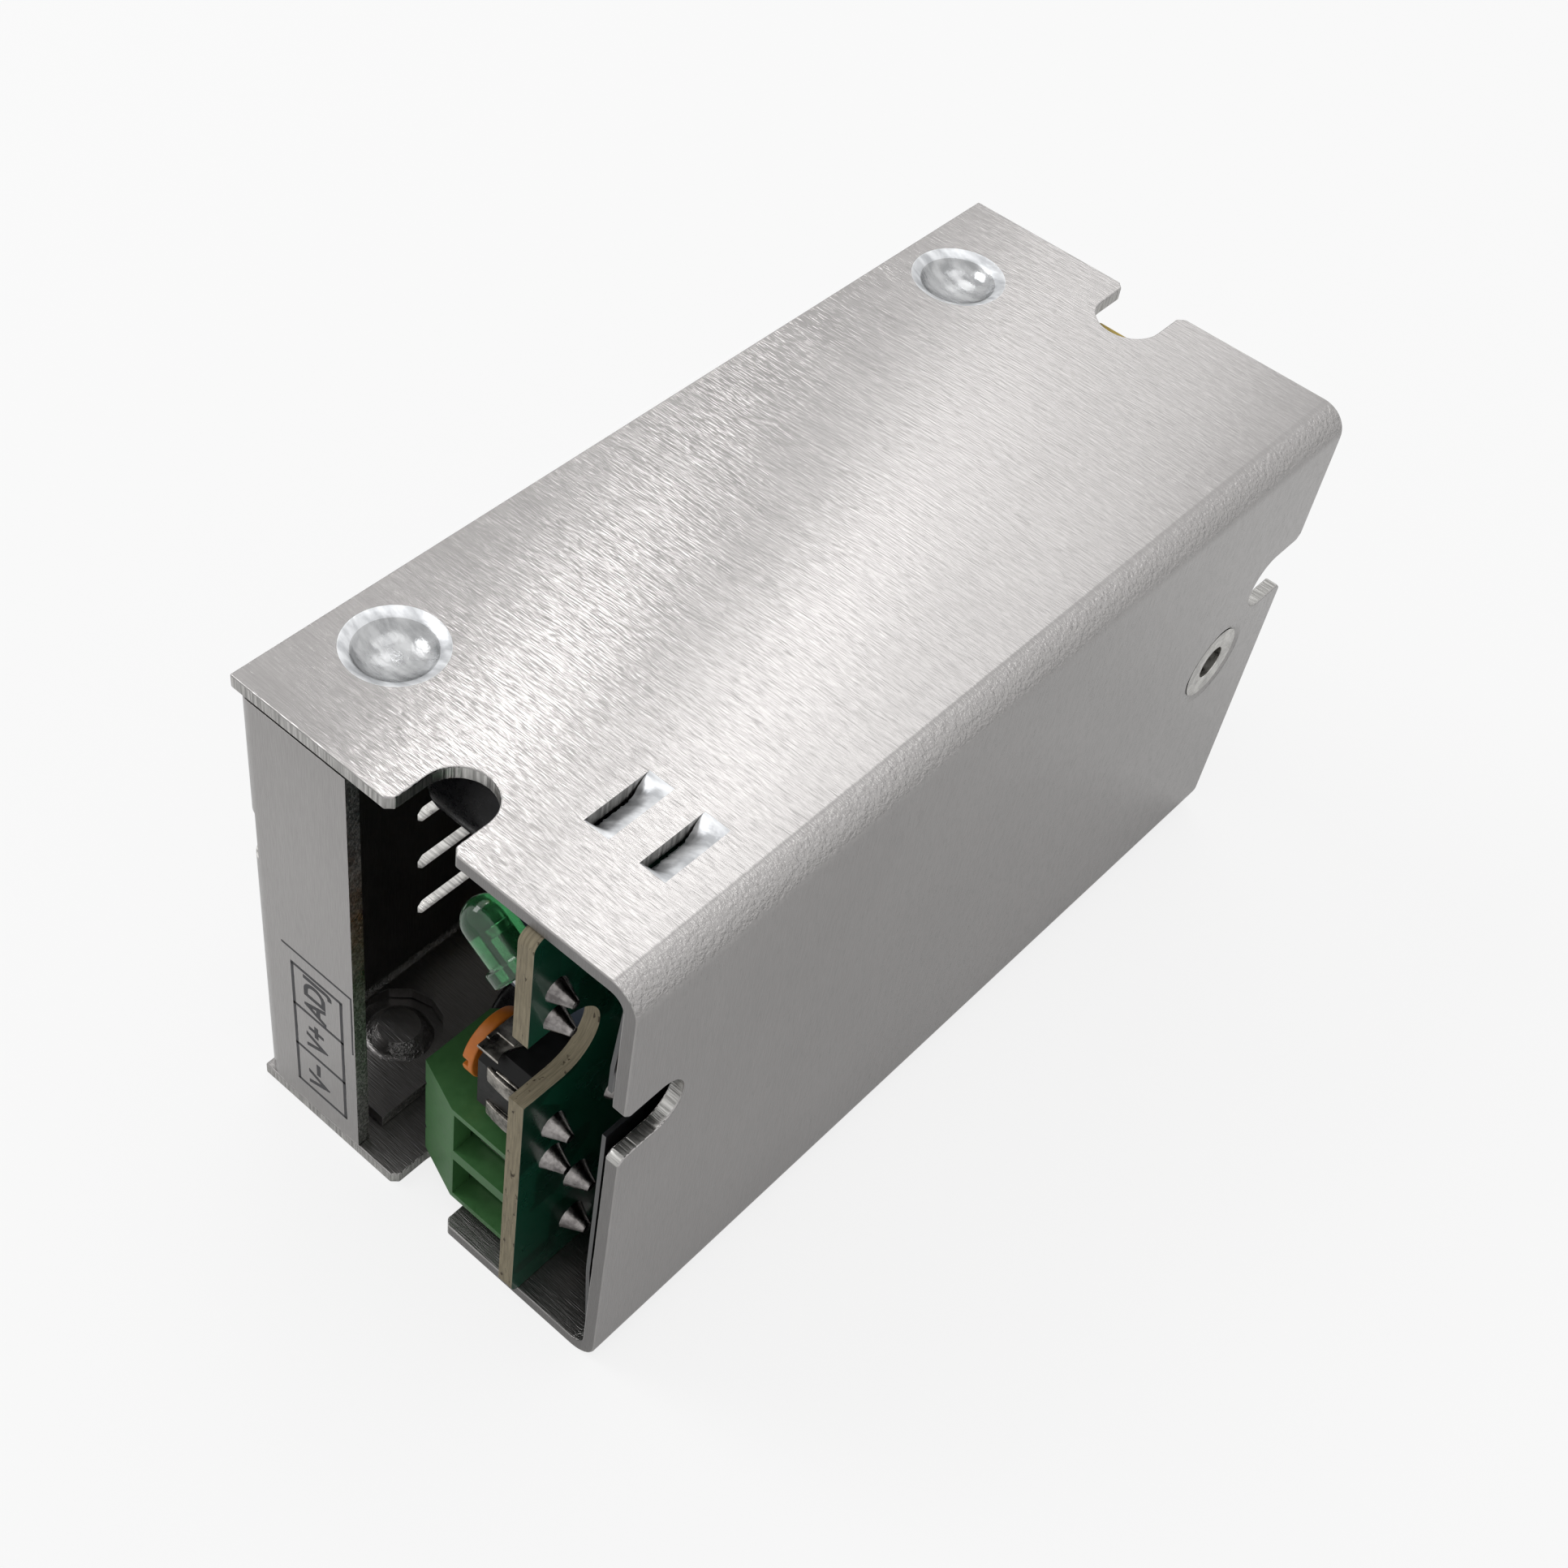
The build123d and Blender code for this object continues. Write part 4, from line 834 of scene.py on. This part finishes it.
print("board parts")
plainParts = {   # node: piece, body paint, edge rounding in mm, height where its bare leads end
    "output_terminal_housing": ("outputHousing", terminalGreen, 0.14, None),
    "input_terminal_housing": ("inputHousing", terminalGreen, 0.14, None),
    "output_terminal_contacts": ("outputContacts", contactPlate, 0.04, None),
    "input_terminal_contacts": ("inputContacts", contactPlate, 0.04, None),
    "trimmer_body": ("trimmerBase", trimmerBlack, 0.12, None),
    "trimmer_contacts": ("trimmerPlates", wornPlate, 0.08, None),
    "trimmer_rotor": ("trimmerDial", rotorOrange, 0.16, None),
    "indicator_leads": ("lampLeads", tinWire, 0.05, None),
    "inductor_sleeve": ("inductorSleeve", sleeveBlue, 0.14, None),
    "inductor_core": ("inductorBlock", coreBlack, 0.08, 0.2),
    "load_resistor": ("loadResistor", resistorTan, 0.22, 0.3),
    "output_rectifier": ("outputRectifier", chipBlack, 0.2, 0.3),
    "snubber_resistor": ("snubberResistor", resistorTan, 0.4, 0.3),
    "film_capacitor": ("filmCapacitor", filmRed, 0.20, 0.2),
    "optocoupler": ("optocouplerBody", chipBlack, 0.08, 0.6),
    "controller_chip": ("controllerBody", chipBlack, 0.08, 0.6),
    "bridge_rectifier": ("bridgeBody", chipBlack, 0.15, 1.0),
    "transformer_core_1": ("coreHalf1", ferriteGrey, 0.15, None),
    "transformer_core_2": ("coreHalf2", ferriteGrey, 0.15, None),
    "transformer_bobbin": ("bobbin", bobbinBlack, 0.08, 0.4),
    "transformer_winding": ("windingWrap", tapeYellow, 0.3, None),
    "line_choke_ring": ("chokeRing", ferriteGrey, 0.3, None),
    "line_choke_windings": ("chokeWindings", copperWire, 0.15, None),
    "bridging_capacitor": ("bridgingDisc", discBlue, 0.9, 0.9),
    "thermistor": ("thermistorDisc", thermistorDark, 0.9, 0.9),
    "fuse": ("fuseTube", fuseTan, 0.15, 0.3),
    "line_capacitor": ("lineCapacitor", lineYellow, 0.25, 0.2),
}


def leadBelow(height):
    return lambda face: 1 if face.calc_center_median().y < boardTop + height * mm else 0


for node, (pieceName, paint, width, bare) in plainParts.items():
    if bare is None:
        refine(node, pieceName, [paint], width)
    else:
        refine(node, pieceName, [paint, tinWire], width, pick=leadBelow(bare))

for end, ways in (("output", 2), ("input", 3)):
    for way in range(1, ways + 1):
        refine("%s_clamp_screw_%d" % (end, way), "%sScrew%d" % (end, way), [brightPlate], 0.10)
        refine("%s_wire_clamp_%d" % (end, way), "%sClamp%d" % (end, way), [clampPlate], 0.05)

# Trimmer metalwork

print("trimmer")
tabShape = {
    "path": ((-32.42, -3.55), (-32.56, -3.75), (-32.66, -4.4), (-32.70, -5.3), (-32.66, -6.1),
             (-32.46, -6.75), (-32.05, -7.15), (-31.5, -7.3), (-30.8, -7.2)),
    "middle": 16.5, "reach": 1.75, "wide": 1.3, "sheet": 0.26, "tip": 0.80, "wear": 0.05,
    "rounding": 0.05,
}
flapShape = {"x": (-32.4, -27.9), "top": -2.45, "low": -4.25, "wave": 0.30, "period": 3.3,
             "z": (19.62, 19.82), "steps": 30, "rounding": 0.04}


def buildTabs():
    # the worn front legs bend out over the base and turn in again under it
    s = tabShape
    path = [Vector(point) for point in s["path"]]
    for number, side in enumerate((-1, 1)):
        z = s["middle"] + side * s["reach"]
        sections = []
        for i, point in enumerate(path):
            along = (path[min(i + 1, len(path) - 1)] - path[max(i - 1, 0)]).normalized()
            across = Vector((along.y, -along.x)) * s["sheet"] / 2
            worn = s["tip"] if i == 0 else 1.0 + s["wear"] * sin(5 * i + number)
            wide = s["wide"] / 2 * worn
            sections.append([(*(point + across * k), z + m * wide)
                             for k, m in ((-1, -1), (-1, 1), (1, 1), (1, -1))])
        asPiece("trimmerTab%d" % (number + 1), strip(sections, s["rounding"]), [wornPlate],
                "trimmer_contacts", 45, stands=False)


def buildFlap():
    # the plate's side flap, whose lower edge is wavy
    s = flapShape
    (start, end), (near, far), top = s["x"], s["z"], s["top"]
    sections = []
    for i in range(s["steps"] + 1):
        x = start + (end - start) * i / s["steps"]
        foot = s["low"] + s["wave"] * sin(2 * pi * (x - start) / s["period"])
        sections.append([(x, top, near), (x, top, far), (x, foot, far), (x, foot, near)])
    asPiece("trimmerFlap", strip(sections, s["rounding"]), [wornPlate], "trimmer_contacts", 45,
            stands=False)


buildTabs()
buildFlap()

# Print on the cover's flange

print("flange print")
flangePrint = {
    "face": -34.4 * mm, "lift": 0.012 * mm, "line": 0.24, "thin": 0.7, "thinner": 0.5,
    "cells": (3.2, 7.33, 11.78, 16.08), "low": 7.25, "high": 12.0,
    "corner": {"z": (17.4, 11.5), "y": (6.35, 12.75)},
    "words": ("V\u2212", "V+", "ADJ"), "middle": 9.75, "text": 2.75 * mm, "narrow": 0.86,
    "stroke": 0.055 * mm,
}


def printLines():
    # a frame with one cell a word, and one thin line that turns the corner beside it
    p = flangePrint
    low, high, line, cells = p["low"], p["high"], p["line"], p["cells"]
    (top, end), (right, left) = p["corner"]["z"], p["corner"]["y"]
    bars = [(low, low + line, cells[0], cells[-1]), (high - line, high, cells[0], cells[-1])]
    bars += [(low, high, z - line / 2, z + line / 2) for z in cells]
    bars += [(right, left, top, top + line * p["thin"]),
             (right, right + line * p["thinner"], end, top)]
    joined = bmesh.new()
    for y0, y1, z0, z1 in bars:
        bar = bmesh.ops.create_cube(joined, size=1.0)["verts"]
        bmesh.ops.scale(joined, vec=(2 * p["lift"], (y1 - y0) * mm, (z1 - z0) * mm), verts=bar)
        bmesh.ops.translate(joined, vec=(p["face"], (y0 + y1) / 2 * mm, (z0 + z1) / 2 * mm),
                            verts=bar)
    asPiece("printLines", joined, [printGrey], "cover", stands=False)


def printWords():
    # each word reads upwards: its X runs along +Z, and its up side faces the cover's plate
    p = flangePrint
    turn = Matrix(((0, 0, -1), (0, 1, 0), (1, 0, 0))).to_4x4()
    for number, word in enumerate(p["words"]):
        curve = bpy.data.curves.new("word%d" % number, "FONT")
        curve.body = word
        curve.size = p["text"]
        curve.extrude = p["lift"]
        curve.offset = p["stroke"]
        curve.align_x = "CENTER"
        curve.align_y = "CENTER"
        shape = bpy.data.objects.new("wordShape%d" % number, curve)
        bpy.context.scene.collection.objects.link(shape)
        bpy.context.view_layer.update()
        mesh = bpy.data.meshes.new_from_object(shape)
        bpy.data.objects.remove(shape)
        made = bmesh.new()
        made.from_mesh(mesh)
        bpy.data.meshes.remove(mesh)
        middle = (p["cells"][number] + p["cells"][number + 1]) / 2 * mm
        where = Matrix.Translation((p["face"], p["middle"] * mm, middle))
        bmesh.ops.transform(made, matrix=where @ turn @ Matrix.Scale(p["narrow"], 4, (1, 0, 0)),
                            verts=made.verts)
        asPiece("printWord%d" % number, made, [printGrey], "cover", stands=False)


printLines()
printWords()

# Floor, light and camera

print("floor, light and camera")
studio = {"floor": 2.4, "floorColour": (0.86, 0.86, 0.86), "worldLight": 0.60,
          "whiteShare": 0.80, "lampAway": 0.9}
lamps = {   # each hangs in a direction from the case's top, wide across the grain or along it
    "brightStrip": {"way": (0.370, 0.476, 0.798), "size": (0.035, 0.17), "level": 9.5},
    "peakPanel": {"way": (0.500, 0.392, 0.772), "size": (0.044, 0.34), "level": 1.9},
    "broadPanel": {"way": (0.560, 0.340, 0.755), "size": (0.130, 0.58), "level": 0.92},
    "backPanel": {"way": (-0.28, 0.66, 0.69), "size": (0.36, 0.36), "level": 4.0},
    "overPanel": {"way": (0.10, -0.06, 1.0), "size": (0.40, 0.66), "level": 1.0},
}
cameraFit = {"at": (-0.086354, -0.054225, 0.127699), "turn": (39.062, -4.8659, -47.4116),
             "lens": 50.57, "shift": (0.0802, 0.0630), "clip": (0.005, 10)}


def layFloor():
    # the camera sees most of the floor as white, and the object's shadow stays on it
    made = bmesh.new()
    bmesh.ops.create_grid(made, x_segments=1, y_segments=1, size=studio["floor"])
    mesh = bpy.data.meshes.new("floor")
    made.to_mesh(mesh)
    made.free()
    floor = bpy.data.objects.new("floor", mesh)
    bpy.context.scene.collection.objects.link(floor)
    paint = Paint("floor_paper", {"Roughness": 0.9, "Specular IOR Level": 0.1})
    pale = studio["floorColour"]
    paint.feed(Base_Color=paint.mix(paint.noise(30.0), tuple(c * 0.99 for c in pale), pale))
    paper = Wire(paint, paint.shader.outputs[0])
    white = paint.node("Emission", {}, {"Color": (1, 1, 1, 1), "Strength": 1.0})
    seen = paint.node("LightPath", output="Is Camera Ray")
    both = paint.node("MixShader", {}, {0: seen * studio["whiteShare"], 1: paper, 2: white})
    paint.plug(paint.tree.nodes["Material Output"].inputs["Surface"], both)
    mesh.materials.append(paint.material)


def lightWorld():
    # camera, glossy and transmission rays see white; the rest get the studio's level
    world = bpy.data.worlds.new("studio")
    bpy.context.scene.world = world
    world.use_nodes = True
    sky = Nodes(world.node_tree)
    camera, glossy, through = (sky.node("LightPath", output="Is %s Ray" % ray)
                               for ray in ("Camera", "Glossy", "Transmission"))
    background = sky.tree.nodes["Background"].inputs
    sky.plug(background["Color"], (1, 1, 1, 1))
    sky.plug(background["Strength"],
             sky.ramp(camera | glossy | through, 0.0, 1.0, studio["worldLight"], 1.0))


def hangLamps():
    # a lamp's narrow side lies across the sheet's grain, so that it draws a streak along the case
    top = Vector((0, 0, topZ))
    for name, lamp in lamps.items():
        light = bpy.data.lights.new(name, "AREA")
        light.shape = "RECTANGLE"
        light.size, light.size_y = lamp["size"]
        light.energy = lamp["level"] * pi * lamp["size"][0] * lamp["size"][1]
        way = Vector(lamp["way"]).normalized()
        long = way.cross(Vector((0, 1, 0))).normalized()
        wide = long.cross(way).normalized()
        turn = Matrix((wide, long, way)).transposed()
        thing = bpy.data.objects.new(name, light)
        thing.matrix_world = Matrix.Translation(top + way * studio["lampAway"]) @ turn.to_4x4()
        bpy.context.scene.collection.objects.link(thing)


def placeCamera():
    data = bpy.data.cameras.new("view")
    data.lens = cameraFit["lens"]
    data.sensor_width = 36
    data.shift_x, data.shift_y = cameraFit["shift"]
    data.clip_start, data.clip_end = cameraFit["clip"]
    camera = bpy.data.objects.new("view", data)
    camera.location = cameraFit["at"]
    camera.rotation_euler = Euler([radians(a) for a in cameraFit["turn"]])
    bpy.context.scene.collection.objects.link(camera)
    bpy.context.scene.camera = camera


layFloor()
lightWorld()
hangLamps()
placeCamera()
bpy.context.scene.view_settings.view_transform = "Standard"

bpy.context.view_layer.update()
